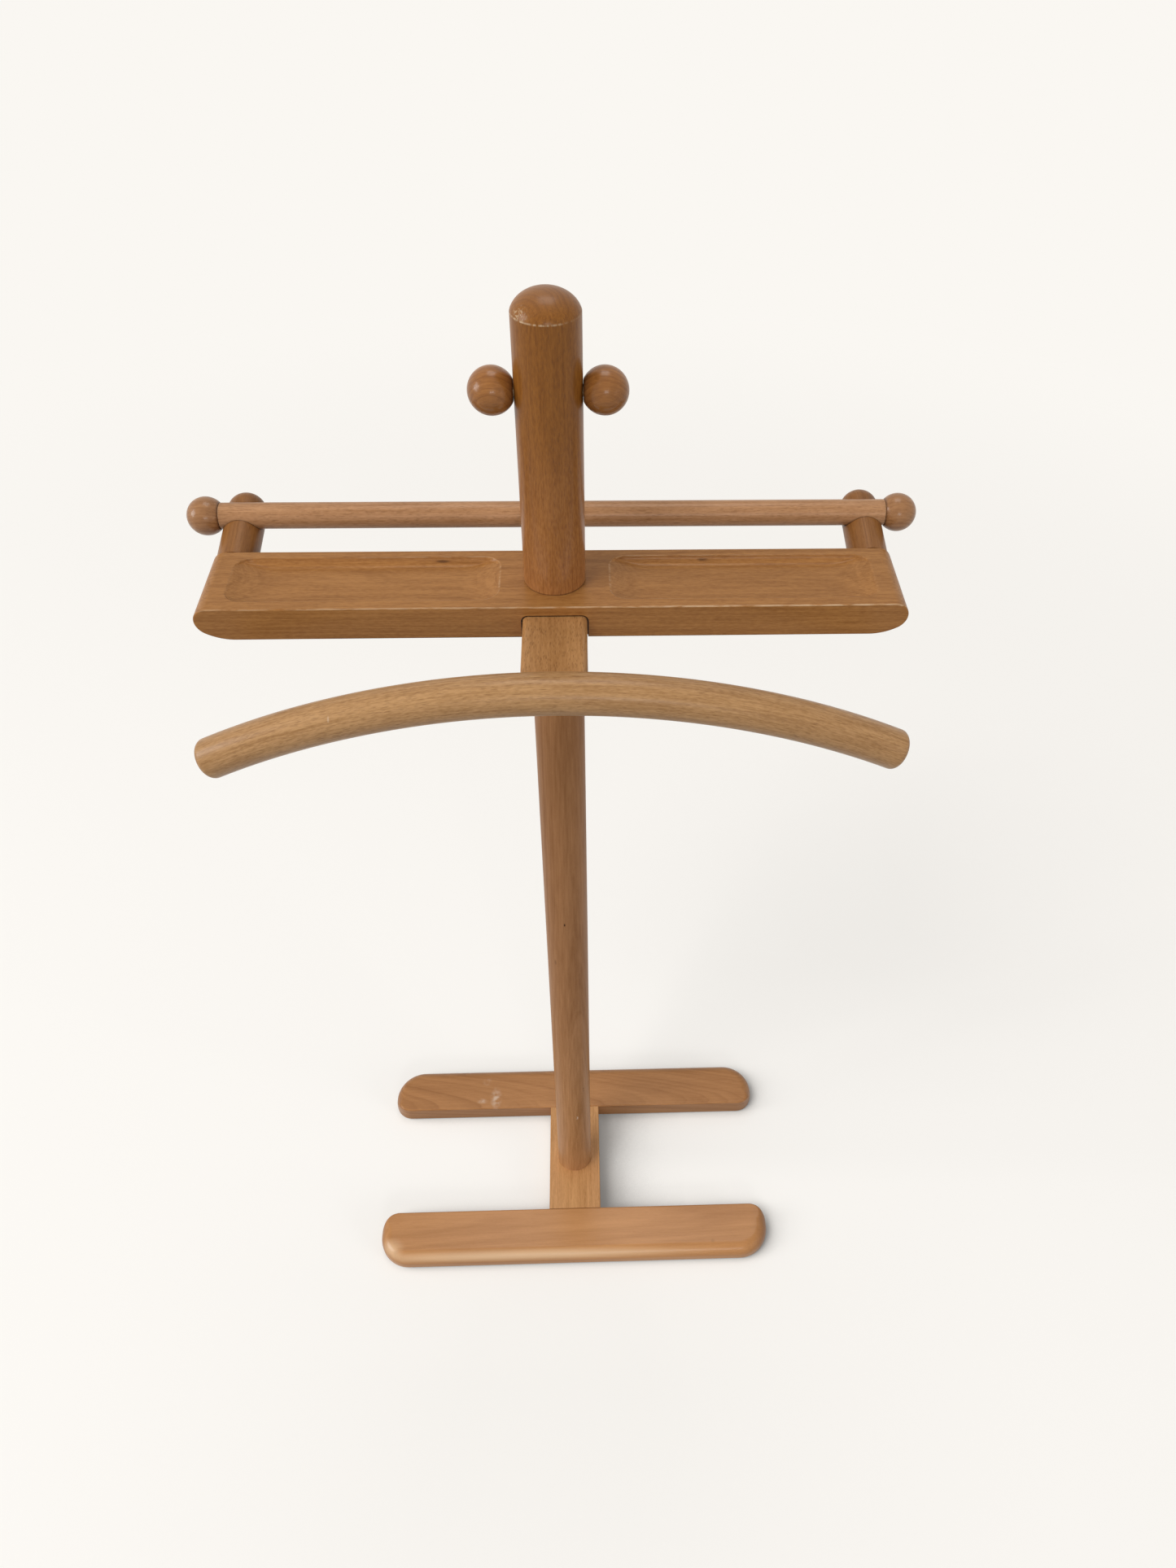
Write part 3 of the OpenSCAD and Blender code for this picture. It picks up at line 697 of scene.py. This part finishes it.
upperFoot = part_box("upper_post")[0].z
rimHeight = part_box("upper_post")[1].z - upper["domeRise"]
upperPostWood = {
    "tint": "#88551F", "grain": "z", "seed": 5.0, "heart": inMm(-35, 35), "ringGap": 3.6 * mm,
    "ring": 0.2, "band": 0.55, "line": 0.85, "dash": 2.0, "fleck": 0.12, "speck": 1.0,
    "coat": 0.2, "coatRoughness": 0.2,
}
upperPostMarks = [
    {"at": (0, 0, upperFoot), "size": (1, 1, 0.15), "edge": (0.05, 1.0), "gain": (1.4, 1.58, 3.2),
     "amount": 1.0},  # paler towards its foot
    {"at": (0, 0, upperFoot), "size": (2, 2, 1.5 * mm), "colour": beech["jointShadeColour"], "edge": (0.2, 1.0),
     "amount": 0.6},  # painted shade in the seam with the tray
    {"at": (-15 * mm, -13 * mm, rimHeight + 3 * mm), "size": inMm(8, 9, 6), "colour": "#DCC39E",
     "grit": 700, "broken": (0.5, 0.62), "edge": (0.2, 1.0), "amount": 0.5},  # scuffs on the dome
]


def rimWear(at):
    # the finish is rubbed off round the dome's rim, most of all at the front left
    side = upper["wornMiddle"] - upper["wornSide"] * (at.x + upper["wornFront"] * at.y) / upper["domeRise"]
    return max(0.0, 1 - abs(at.z - rimHeight) / upper["wornWidth"]) * min(1, max(upper["wornLeast"], side))


beechPiece(upperPost(), "upper post", "upper_post", upperPostWood, upperPostMarks, worn=rimWear)
print("posts made")


# Knobs and bar balls: turned balls with a flat

ball = {"flatSoft": 0.8 * mm, "arcSteps": 40, "steps": 64, "seed": 6.0, "seamShadeReach": 1.8 * mm}


def turnedBall(node, side, flatAt, radius):
    # side is the way that the ball points away from its flat
    middle = middleOf(node)
    low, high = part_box(node)
    centre = Vector((low.x + radius if side < 0 else high.x - radius, middle.y, middle.z))
    bm = bmesh.new()
    pole = bm.verts.new(centre + Vector((side * radius, 0, 0)))
    rim = arcOn(bm, pole, centre, yAxis, -side * (math.pi - math.acos(flatAt / radius)), ball["arcSteps"])
    hub = bm.verts.new(centre - Vector((side * flatAt, 0, 0)))
    bm.edges.new((rim, hub))
    roundCorners(bm, [rim], ball["flatSoft"])
    latheProfile(bm, centre, xAxis, ball["steps"])
    return bm


knobWood = {"tint": "#935F2D", "heart": inMm(16, 18), "ringGap": 3.4 * mm, "ring": 0.85, "band": 1.2,
            "line": 1.36, "fleck": 0.2, "coat": 0.42}
ballWood = {"tint": "#986B43", "heart": inMm(14, 30), "ring": 0.6, "band": 1.0, "fleck": 0.3, "coat": 0.42}
ballScuffs = {"left_bar_ball": [{"at": placeOn("left_bar_ball", -7, -10, -7), "size": inMm(5, 5, 5),
                                 "colour": "#C9B5A6", "grit": 500, "broken": (0.4, 0.7), "amount": 0.5}]}
for side, name in ((-1, "left"), (1, "right")):
    for kind, node, wood in (("knob", name + "_knob", knobWood), ("ball", name + "_bar_ball", ballWood)):
        low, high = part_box(node)
        radius = (high.z - low.z) / 2
        look = {**wood, "seed": ball["seed"] + side + high.z}
        # painted shade round the flat, where a knob meets the post and a ball meets the bar
        seamShade = {"at": (high.x if side < 0 else low.x, 0, 0), "size": (ball["seamShadeReach"], 2, 2),
                "colour": beech["jointShadeColour"], "edge": (0.2, 1.0), "amount": 0.65}
        beechPiece(turnedBall(node, side, high.x - low.x - radius, radius), name + " " + kind, node, look,
                   [seamShade] + ballScuffs.get(node, []), flats=False)
print("knobs and balls made")


# Tray

tray = {
    "topRound": 10.5 * mm,
    "nose": 12.5 * mm,
    "underLength": 27 * mm,
    "underSteps": 10,
    "noseSteps": 14,
    "topSteps": 12,
    "edgeSoft": 1.1 * mm,
    "edgeSteps": 4,
    "slotGap": 0.06 * mm,
    "grooveGap": 0.6 * mm,
    "grooveDepth": 2.5 * mm,
    "shadowBandGap": 1.2 * mm,
    "shadowBandDepth": 0.06 * mm,
    "bracketRound": 4 * mm,
    "slotSteps": 8,
    "slotOver": 10 * mm,  # how far the slot's cutter stands out of the tray
    # a painted highlight along the front top edge
    "edgeHighlight": 0.5,
    "edgeHighlightRight": 0.2,  # and this much more at the right end
}
dish = {
    "fromMiddle": 40 * mm,
    "fromEnd": 20 * mm,
    "width": 54 * mm,
    "depth": 6 * mm,
    "corner": 14 * mm,
    "sideCove": 7 * mm,
    "endCove": 88 * mm,
    "coveSoft": 0.8 * mm,
    "shift": 0.75 * mm,
    "rimSoft": 0.45 * mm,
    # a painted highlight along the dish rim
    "rimHighlight": 0.5,
    "rimHighlightWidth": 0.6 * mm,
    "wornMiddle": 0.5,  # the painted highlight on the rim is stronger towards the post
    "wornLean": 0.35,
    "cutsFromEnd": [0.5 * i for i in range(-6, 31)] + [16 + 1.5 * i for i in range(13)],  # in mm
    "cutsFromSide": [0.25 * i for i in range(-5, 9)] + [2.5 + 0.5 * i for i in range(26)],
}


def coveDrop(inset, radius):
    # depth of the dish a distance in from its rim, where its floor rises in a cove of this radius
    depth = dish["depth"]
    run = math.sqrt(depth * (2 * radius - depth))
    if inset < 0:
        return inset * min(1, run / (radius - depth))
    out = max(0, run - inset)
    return depth - radius + math.sqrt(radius ** 2 - out ** 2)


def softMax(first, second, reach):
    near = max(reach - abs(first - second), 0)
    return max(first, second) + near * near / (4 * reach)


def dishDrop(at, middle, half):
    # how far the tray's top is hollowed, before the rim is softened
    corner = dish["corner"]
    fromEnd = half.x - abs(at.x - middle.x)
    beyond = Vector((corner - fromEnd, abs(at.y - middle.y) - half.y + corner))
    outside = Vector((max(beyond.x, 0), max(beyond.y, 0))).length + min(max(beyond), 0)
    endDrop, sideDrop = coveDrop(fromEnd, dish["endCove"]), coveDrop(corner - outside, dish["sideCove"])
    return -softMax(-endDrop, -sideDrop, dish["coveSoft"])


def hollowDish(bm, middle, half, top):
    # cuts the top into a fine grid round one dish, and lowers it
    cuts = []
    for sign in (-1, 1):
        cuts += [(xAxis, middle.x + sign * (half.x - c * mm)) for c in dish["cutsFromEnd"]]
        cuts += [(yAxis, middle.y + sign * (half.y - c * mm)) for c in dish["cutsFromSide"]]
    reach = half - Vector((min(dish["cutsFromEnd"]), min(dish["cutsFromSide"]))) * mm

    def covered(at, margin):
        return abs(at.x - middle.x) < reach.x + margin and abs(at.y - middle.y) < reach.y + margin

    def isOuter(axis, place):
        way = 0 if axis == xAxis else 1
        return abs(place - middle[way]) > reach[way] - tiny

    # the outermost cuts go first and right across the top, the others stay between them
    for axis, place in sorted(cuts, key=lambda cut: not isOuter(*cut)):
        faces = [f for f in bm.faces if f.normal.z > 0.99 and abs(f.calc_center_median().z - top) < tiny
                 and (isOuter(axis, place) or covered(f.calc_center_median(), 0))]
        geom = {g for f in faces for g in (f, *f.edges, *f.verts)}
        bmesh.ops.bisect_plane(bm, geom=list(geom), plane_co=axis * place, plane_no=axis)
    wornLayer = wornLayerOf(bm)
    for vert in bm.verts:
        if abs(vert.co.z - top) < tiny and covered(vert.co, tiny):
            drop = dishDrop(vert.co, middle, half)
            fromMiddle = (vert.co.x - middle.x) / half.x * math.copysign(1, middle.x)
            # the painted highlight along the rim, stronger towards the post
            worn = max(0, dish["wornMiddle"] - dish["wornLean"] * fromMiddle)
            vert[wornLayer] = dish["rimHighlight"] * worn * max(0, 1 - abs(drop) / dish["rimHighlightWidth"])
            vert.co.z = top - softMax(0, drop, dish["rimSoft"])


def trayBoard():
    low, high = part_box("tray")
    end, top, under = high.x, high.z, low.z
    noseZ = top - tray["topRound"]
    underRise = noseZ - under
    length, nose = tray["underLength"], tray["nose"]
    underRadius = (length ** 2 + underRise ** 2 - 2 * length * nose) / (2 * (underRise - nose))
    startX = end - length
    lean = math.atan2(length - nose, underRadius - underRise)  # how far the long curve turns before the nose
    bm = bmesh.new()
    verts = wireThrough(bm, [(0, low.y, under), (startX, low.y, under)])
    last = arcOn(bm, verts[-1], (startX, low.y, under + underRadius), yAxis, -lean, tray["underSteps"])
    last = arcOn(bm, last, (end - nose, low.y, noseZ), yAxis, -(math.pi / 2 - lean), tray["noseSteps"])
    last = arcOn(bm, last, (end - tray["topRound"], low.y, noseZ), yAxis, -math.pi / 2, tray["topSteps"])
    wireThrough(bm, [(0, low.y, top)], [last])
    bmesh.ops.mirror(bm, geom=bm.verts[:] + bm.edges[:], axis="X", merge_dist=tiny)
    bmesh.ops.remove_doubles(bm, verts=bm.verts, dist=tiny)
    face = bmesh.ops.contextual_create(bm, geom=bm.edges[:])["faces"][0]
    grown = bmesh.ops.extrude_face_region(bm, geom=[face])["geom"]
    bmesh.ops.translate(bm, vec=(0, high.y - low.y, 0), verts=onlyThe(BMVert, grown))
    bmesh.ops.recalc_face_normals(bm, faces=bm.faces)
    outline = edgesWhere(bm, lambda middle, way: not alongY(way))
    roundEdges(bm, outline, tray["edgeSoft"], tray["edgeSteps"])

    bracketLow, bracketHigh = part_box("hanger_bracket")
    # the bracket's slot, the groove round it and the shallow band round that; the groove and the band carry a
    # painted shadow
    for gap, back in ((tray["slotGap"], bracketHigh.y), (tray["grooveGap"], low.y + tray["grooveDepth"]),
                      (tray["shadowBandGap"], low.y + tray["shadowBandDepth"] - tray["shadowBandGap"])):
        slot = boxMesh(Vector((bracketLow.x - gap, low.y - tray["slotOver"], under - tray["slotOver"])),
                       Vector((bracketHigh.x + gap, back + gap, bracketHigh.z + gap)))
        upperEdges = edgesWhere(slot, lambda middle, way: alongY(way) and middle.z > bracketHigh.z)
        roundEdges(slot, upperEdges, tray["bracketRound"] + gap, tray["slotSteps"])
        bm = combine(bm, slot)
    bmesh.ops.remove_doubles(bm, verts=bm.verts, dist=0.01 * mm)
    bm.normal_update()
    halfDish = Vector((end - dish["fromEnd"] - dish["fromMiddle"], dish["width"])) / 2
    for side in (-1, 1):
        hollowDish(bm, Vector((side * (dish["fromMiddle"] + halfDish.x), dish["shift"])), halfDish, top)
    return bm


trayLow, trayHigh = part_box("tray")
trayWood = {"tint": "#9B6A38", "seed": 10.0, "heart": inMm(8, 95), "ring": 0.35, "line": 1.36, "dash": 1.6,
            "fleck": 0.12, "speck": 0.38}
trayStreaks = [
    {"at": placeOn("tray", -84, 26.5, 9), "size": inMm(8, 1.1, 4), "colour": "#4A2A12", "amount": 0.8},
    {"at": placeOn("tray", 111, 26.5, 9), "size": inMm(6, 1.1, 4), "colour": "#4A2A12", "amount": 0.7},
]
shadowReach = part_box("hanger_bracket")[1].x + 2 * mm


def trayPaintedLight(at):
    # a painted highlight along the front top edge, more so to the right; a painted shadow in the groove and
    # the band round the bracket
    inward = at.y - trayLow.y
    inShadowBand = 0.4 * tray["shadowBandDepth"] < inward < 1.5 * tray["shadowBandDepth"] and at.z < trayHigh.z - 2 * mm
    inGrooveShade = abs(inward - tray["grooveDepth"] - tray["grooveGap"]) < 1 * mm and at.z > trayLow.z + 1 * mm
    if abs(at.x) < shadowReach and (inShadowBand or inGrooveShade):
        return -1.0
    margin = 0.02 * mm  # the flat faces on both sides of the softened edge stay as they are
    if margin < inward < tray["edgeSoft"] - margin and at.z > trayHigh.z - 1.5 * mm:
        return tray["edgeHighlight"] + tray["edgeHighlightRight"] * at.x / trayHigh.x
    return 0.0


beechPiece(trayBoard(), "tray", "tray", trayWood, trayStreaks, sharp=60, worn=trayPaintedLight)
print("tray made")


# Hanger and its bracket

hanger = {"span": 479 * mm, "rise": 54.5 * mm, "neck": 3 * mm, "endRound": 5 * mm, "endSteps": 7,
          "steps": 96, "round": 48}
hangerLow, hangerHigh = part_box("hanger_bar")
hangerThick = hangerHigh.y - hangerLow.y
hangerY = (hangerLow.y + hangerHigh.y) / 2
hangerZ = hangerHigh.z - hangerThick / 2
hangerRadius = ((hanger["span"] / 2) ** 2 + hanger["rise"] ** 2) / (2 * hanger["rise"])
hangerHalfTurn = math.asin(hanger["span"] / 2 / hangerRadius)


def hangerBar():
    centre = Vector((0, hangerY, hangerZ - hangerRadius))
    bm = bmesh.new()
    upright = Matrix.Translation((0, hangerY, hangerZ)) @ Matrix.Rotation(math.pi / 2, 4, "Y")
    bmesh.ops.create_circle(bm, segments=hanger["round"], radius=hangerThick / 2, matrix=upright)
    bmesh.ops.rotate(bm, cent=centre, matrix=Matrix.Rotation(-hangerHalfTurn, 3, "Y"), verts=bm.verts)
    bmesh.ops.spin(bm, geom=bm.verts[:] + bm.edges[:], cent=centre, axis=yAxis, dvec=(0, 0, 0),
                   angle=2 * hangerHalfTurn, steps=hanger["steps"])
    bmesh.ops.recalc_face_normals(bm, faces=bm.faces)
    caps = bmesh.ops.holes_fill(bm, edges=[e for e in bm.edges if e.is_boundary])["faces"]
    endEdges = []
    for cap in caps:
        cap.normal_update()
        way = Vector(cap.normal)
        if way.x * cap.calc_center_median().x < 0:
            way = -way
        grown = bmesh.ops.extrude_discrete_faces(bm, faces=[cap])["faces"][0]
        bmesh.ops.translate(bm, vec=way * (hanger["neck"] + hanger["endRound"]), verts=grown.verts)
        endEdges += grown.edges
    roundEdges(bm, endEdges, hanger["endRound"], hanger["endSteps"])
    return bm


hangerWood = {
    "tint": "#AB8255", "seed": 12.0, "heart": inMm(-30, 42),
    "ring": 0.25, "line": 1.19, "dash": 1.6, "fibre": 1.4, "fleck": 0.3, "speck": 0.9,
    "coat": 0.3, "coatRoughness": 0.26,
}
hangerScratch = [{"at": placeOn("hanger_bar", -152, -17.52, 17.81), "size": inMm(1.6, 9, 4.5),
                  "colour": "#EBDCC6", "grit": 300, "broken": (0.2, 0.4), "amount": 0.9}]
beechPiece(hangerBar(), "hanger", "hanger_bar", hangerWood, hangerScratch,
           centre=Vector((0, hangerY, hangerZ)), bend=hangerRadius)

bracket = {"round": 4 * mm, "roundSteps": 7, "levels": 10, "bite": 0.05 * mm}


def hangerBracket():
    # its front end is hollowed to the hanger, and goes into it by the bite
    low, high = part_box("hanger_bracket")
    bm = boxMesh(low, high)
    longEdges = edgesWhere(bm, lambda middle, way: alongY(way))
    roundEdges(bm, longEdges, bracket["round"], bracket["roundSteps"])
    for i in range(1, bracket["levels"]):
        level = low.z + (high.z - low.z) * i / bracket["levels"]
        bmesh.ops.bisect_plane(bm, geom=bm.verts[:] + bm.edges[:] + bm.faces[:], plane_co=(0, 0, level),
                               plane_no=zAxis)
    r = hangerThick / 2
    for vert in bm.verts:
        if vert.co.y < low.y + tiny:
            axisZ = hangerZ - hangerRadius + math.sqrt(hangerRadius ** 2 - vert.co.x ** 2)
            vert.co.y = hangerY + math.sqrt(max(0, r * r - (vert.co.z - axisZ) ** 2)) - bracket["bite"]
    return bm


bracketWood = {"tint": "#AC7D4D", "grain": "y", "seed": 14.0, "heart": inMm(6, -58), "ring": 0.1, "band": 0.5,
               "dash": 1.08, "fleck": 0.3, "speck": 1.35}
beechPiece(hangerBracket(), "bracket", "hanger_bracket", bracketWood)
print("hanger made")


# Trouser bar and its arms

# the bar's end edges are softened and carry a painted highlight
bar = {"endSoft": 0.6 * mm, "endHighlight": 0.6, "steps": 64}
barLow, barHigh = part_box("trouser_bar")
barMiddle = middleOf("trouser_bar")
barRadius = (barHigh.y - barLow.y) / 2


def rodAlongX(lowX, highX, middle, radius, steps, soft=0):
    bm = bmesh.new()
    verts = wireThrough(bm, [(lowX, middle.y, middle.z), (lowX, middle.y, middle.z + radius),
                             (highX, middle.y, middle.z + radius), (highX, middle.y, middle.z)])
    if soft:
        roundCorners(bm, verts[1:3], soft)
    latheProfile(bm, middle, xAxis, steps)
    return bm


barWood = {"tint": "#AD8059", "seed": 15.0, "heart": inMm(14, 40), "ring": 0.25, "line": 1.02, "dash": 1.2,
           "fleck": 0.25, "speck": 0.8}


# a painted highlight along the bar's rounded end edges
def barEndHighlight(at):
    return bar["endHighlight"] if abs(at.x) > barHigh.x - 0.9 * bar["endSoft"] else 0.0


beechPiece(rodAlongX(barLow.x, barHigh.x, barMiddle, barRadius, bar["steps"], bar["endSoft"]),
           "trouser bar", "trouser_bar", barWood, worn=barEndHighlight)

arm = {
    "rise": 11.5,  # degrees
    "width": 30 * mm,
    "dome": 60.5 * mm,
    "domeSteps": 16,
    "saddleGap": 0.3 * mm,
    "saddleOver": 5 * mm,  # how far the saddle's cutter stands out of the arm
    # how far the painted shade round the saddle reaches
    "seamShade": 1.1 * mm,
    "steps": 64,
}


def barArm(node):
    low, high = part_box(node)
    r = arm["width"] / 2
    centre = Vector(((low.x + high.x) / 2, low.y, trayHigh.z - r))
    bm = bmesh.new()
    verts = wireThrough(bm, [(0, -r, 0), (r, -r, 0), (r, arm["dome"], 0)])
    arcOn(bm, verts[-1], (0, arm["dome"], 0), zAxis, math.pi / 2, arm["domeSteps"])
    latheProfile(bm, origin, yAxis, arm["steps"])
    tilt = Matrix.Rotation(math.radians(arm["rise"]), 3, "X")
    bmesh.ops.rotate(bm, cent=origin, matrix=tilt, verts=bm.verts)
    bmesh.ops.translate(bm, vec=centre, verts=bm.verts)
    cut = bmesh.ops.bisect_plane(bm, geom=bm.verts[:] + bm.edges[:] + bm.faces[:], plane_co=centre,
                                 plane_no=(0, -1, 0), clear_outer=True)["geom_cut"]
    bmesh.ops.contextual_create(bm, geom=onlyThe(BMEdge, cut))
    saddle = rodAlongX(low.x - arm["saddleOver"], high.x + arm["saddleOver"], barMiddle,
                       barRadius + arm["saddleGap"], arm["steps"])
    return combine(bm, saddle)


armWood = {"tint": "#83562C", "grain": (0, -math.radians(arm["rise"]), math.pi / 2), "heart": inMm(24, 30),
           "ring": 0.25, "fleck": 0.2}
seamShadeReach = barRadius + arm["saddleGap"] + arm["seamShade"]
# painted shade on the arm round the saddle, where it meets the bar
armSeamShade = [{"at": barMiddle, "size": (2, seamShadeReach, seamShadeReach), "edge": (1 - arm["seamShade"] / seamShadeReach, 1.0),
            "colour": beech["jointShadeColour"], "amount": 0.75}]
for seed, name in ((16.0, "left"), (18.0, "right")):
    node = name + "_arm"
    beechPiece(barArm(node), name + " arm", node, {**armWood, "seed": seed}, armSeamShade)
print("trouser bar made")


# Fixings and pads keep their CAD shapes

metalLook = {"grit": 900, "stain": 120, "stainStep": (0.35, 0.7), "gritRough": 0.2, "bump": 0.2,
             "bumpDepth": 0.03 * mm}
feltLook = {"dark": "#4E4740", "pale": "#857A6E", "fluff": 1400, "clump": 260, "fluffShare": 0.6,
            "clumpShare": 0.4, "step": (0.3, 0.7), "roughness": 0.95, "sheen": 0.3, "bump": 0.8,
            "bumpDepth": 0.3 * mm}


def metal(name, colour, dull, roughness):
    material, start = newMaterial(name)
    place = piecePlace(start)[1]
    grit = place.noise([metalLook["grit"]] * 3, detail=3.0)
    stain = place.noise([metalLook["stain"]] * 3, (3, 1, 2))
    start.node("BsdfPrincipled", None, {
        "Base Color": stain.step(*metalLook["stainStep"]).mixed(tone(colour), tone(dull)), "Metallic": 1.0,
        "Roughness": grit * metalLook["gritRough"] + roughness,
        "Normal": grit.bump(metalLook["bump"], metalLook["bumpDepth"])}).endIn("Material")
    return material


def feltPad(name):
    material, start = newMaterial(name)
    place = piecePlace(start)[1]
    fluff = place.noise([feltLook["fluff"]] * 3, detail=4.0)
    clump = place.noise([feltLook["clump"]] * 3, (2, 5, 1))
    shade = (fluff * feltLook["fluffShare"] + clump * feltLook["clumpShare"]).step(*feltLook["step"])
    start.node("BsdfPrincipled", None, {
        "Base Color": shade.mixed(tone(feltLook["dark"]), tone(feltLook["pale"])),
        "Normal": fluff.bump(feltLook["bump"], feltLook["bumpDepth"]),
        "Roughness": feltLook["roughness"], "Sheen Weight": feltLook["sheen"]}).endIn("Material")
    return material


zinc = metal("zinc plate", "#C3C6CA", "#9EA1A6", 0.28)
brass = metal("brass", "#C9A95C", "#9C7F42", 0.3)
hardware = {
    "base_bolt": zinc, "base_washer": zinc, "joining_stud": zinc, "bar_screws": zinc,
    "post_foot_insert": brass, "post_top_insert": brass, "upper_post_insert": brass,
    "floor_pads": feltPad("felt"),
}
dowelWood = {"tint": "#D2B084", "seed": 20.0}
for node, grain in (("base_dowels", "y"), ("hanger_dowels", "y"), ("knob_dowels", "x"), ("ball_dowels", "x"),
                    ("arm_dowels", "y")):
    hardware[node] = beechWood("dowel " + node, middleOf(node), {**dowelWood, "grain": grain})
for node, material in hardware.items():
    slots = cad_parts[node].data.materials
    slots.clear()
    slots.append(material)
print("fixings dressed")


# Floor and light

studio = {
    "floor": "#FAF7F2",
    "back": "#FAF7F2",
    "bounce": "#959595",  # the floor as other surfaces are lit by it
    "shadow": "#000000",
    "reach": 25,  # metres from the middle to the floor's edge
    "fade": (1.0, 2.6),  # where the floor's shading gives way to the backdrop's colour, in metres
    "contactFrom": (-0.80, -0.15, 0.58),  # a painted shadow darkens the floor near the stand on the side away from this
    "contactReach": 0.11,
    "contactStep": (0.15, 0.65),
    "contactShare": 0.62,
    "softened": 0.35,  # how much of the floor's colour stays in its shadows
    "world": 0.26,  # light from all round, which is white
    "sun": {"power": 1.30, "angle": 26, "from": (-0.50, -0.44, 0.90)},
    "windows": {
        "left": {"place": (-4.6, -0.8, 2.6), "faces": (0, 0, 0.7), "size": (2.0, 2.2), "power": 100},
        "front": {"place": (0.6, -5.0, 2.7), "faces": (0, 0, 0.5), "size": (1.8, 0.9), "power": 34},
        "right": {"place": (4.4, -2.8, 1.7), "faces": (0, 0, 0.9), "size": (2.4, 1.6), "power": 58},
        "top": {"place": (0.1, 1.2, 4.5), "faces": (0, 0, 0.9), "size": (1.8, 1.6), "power": 32},
    },
    "dullLamps": ("sun", "right"),  # these only light: the others make the highlights
}


def seenPlainly(start):
    # 1 where the eye, a reflection or glass sees the surroundings, 0 where they only give light
    rays = [start.node("LightPath", out="Is %s Ray" % kind) for kind in ("Camera", "Glossy", "Transmission")]
    return (rays[0] + rays[1] + rays[2]).math("MINIMUM", 1.0)


def makeFloor():
    bm = bmesh.new()
    bmesh.ops.create_grid(bm, x_segments=1, y_segments=1, size=studio["reach"])
    floor = addMesh("floor", bm)
    material, start = newMaterial("floor")
    plainly = seenPlainly(start)
    shown = plainly.mixed(tone(studio["bounce"]), tone(studio["floor"]))
    leftward = start.node("CombineXYZ", None, dict(enumerate(studio["contactFrom"])))
    reach = {"Distance": studio["contactReach"], "Normal": leftward}
    near = start.node("AmbientOcclusion", None, reach, "AO")
    dark = (1 - near).step(*studio["contactStep"]) * studio["contactShare"]
    matt = start.node("BsdfDiffuse", None, {"Color": dark.mixed(shown, tone(studio["shadow"]))})
    back = dark.mixed(tone(studio["back"]), tone(studio["shadow"]))
    plain = start.node("Emission", None, {"Color": back, "Strength": 1.0})
    far = start.node("TexCoord", out="Object").length().step(*studio["fade"])
    far = far * (1 - studio["softened"]) + studio["softened"]
    start.node("MixShader", None, {0: far * plainly, 1: matt, 2: plain}).endIn("Material")
    floor.data.materials.append(material)


def makeWorld():
    world = bpy.data.worlds.new("studio")
    start = clearTree(world)
    lit = seenPlainly(start).mixed([studio["world"]] * 3 + [1], tone(studio["back"]))
    start.node("Background", None, {"Color": lit, "Strength": 1.0}).endIn("World")
    scene.world = world


def makeLamp(name, kind, power, comesFrom):
    light = bpy.data.lights.new(name if kind == "SUN" else name + " window", kind)
    light.energy = power
    lamp = addObject(light.name, light)
    lamp.rotation_euler = Vector(comesFrom).to_track_quat("Z", "Y").to_euler()
    lamp.visible_glossy = name not in studio["dullLamps"]
    return lamp


def makeLamps():
    sun = studio["sun"]
    makeLamp("sun", "SUN", sun["power"], sun["from"]).data.angle = math.radians(sun["angle"])
    for name, window in studio["windows"].items():
        lamp = makeLamp(name, "AREA", window["power"], Vector(window["place"]) - Vector(window["faces"]))
        lamp.location = window["place"]
        lamp.data.shape = "RECTANGLE"
        lamp.data.size, lamp.data.size_y = window["size"]


makeFloor()
makeWorld()
makeLamps()
scene.view_settings.view_transform = "Standard"
print("studio lit")
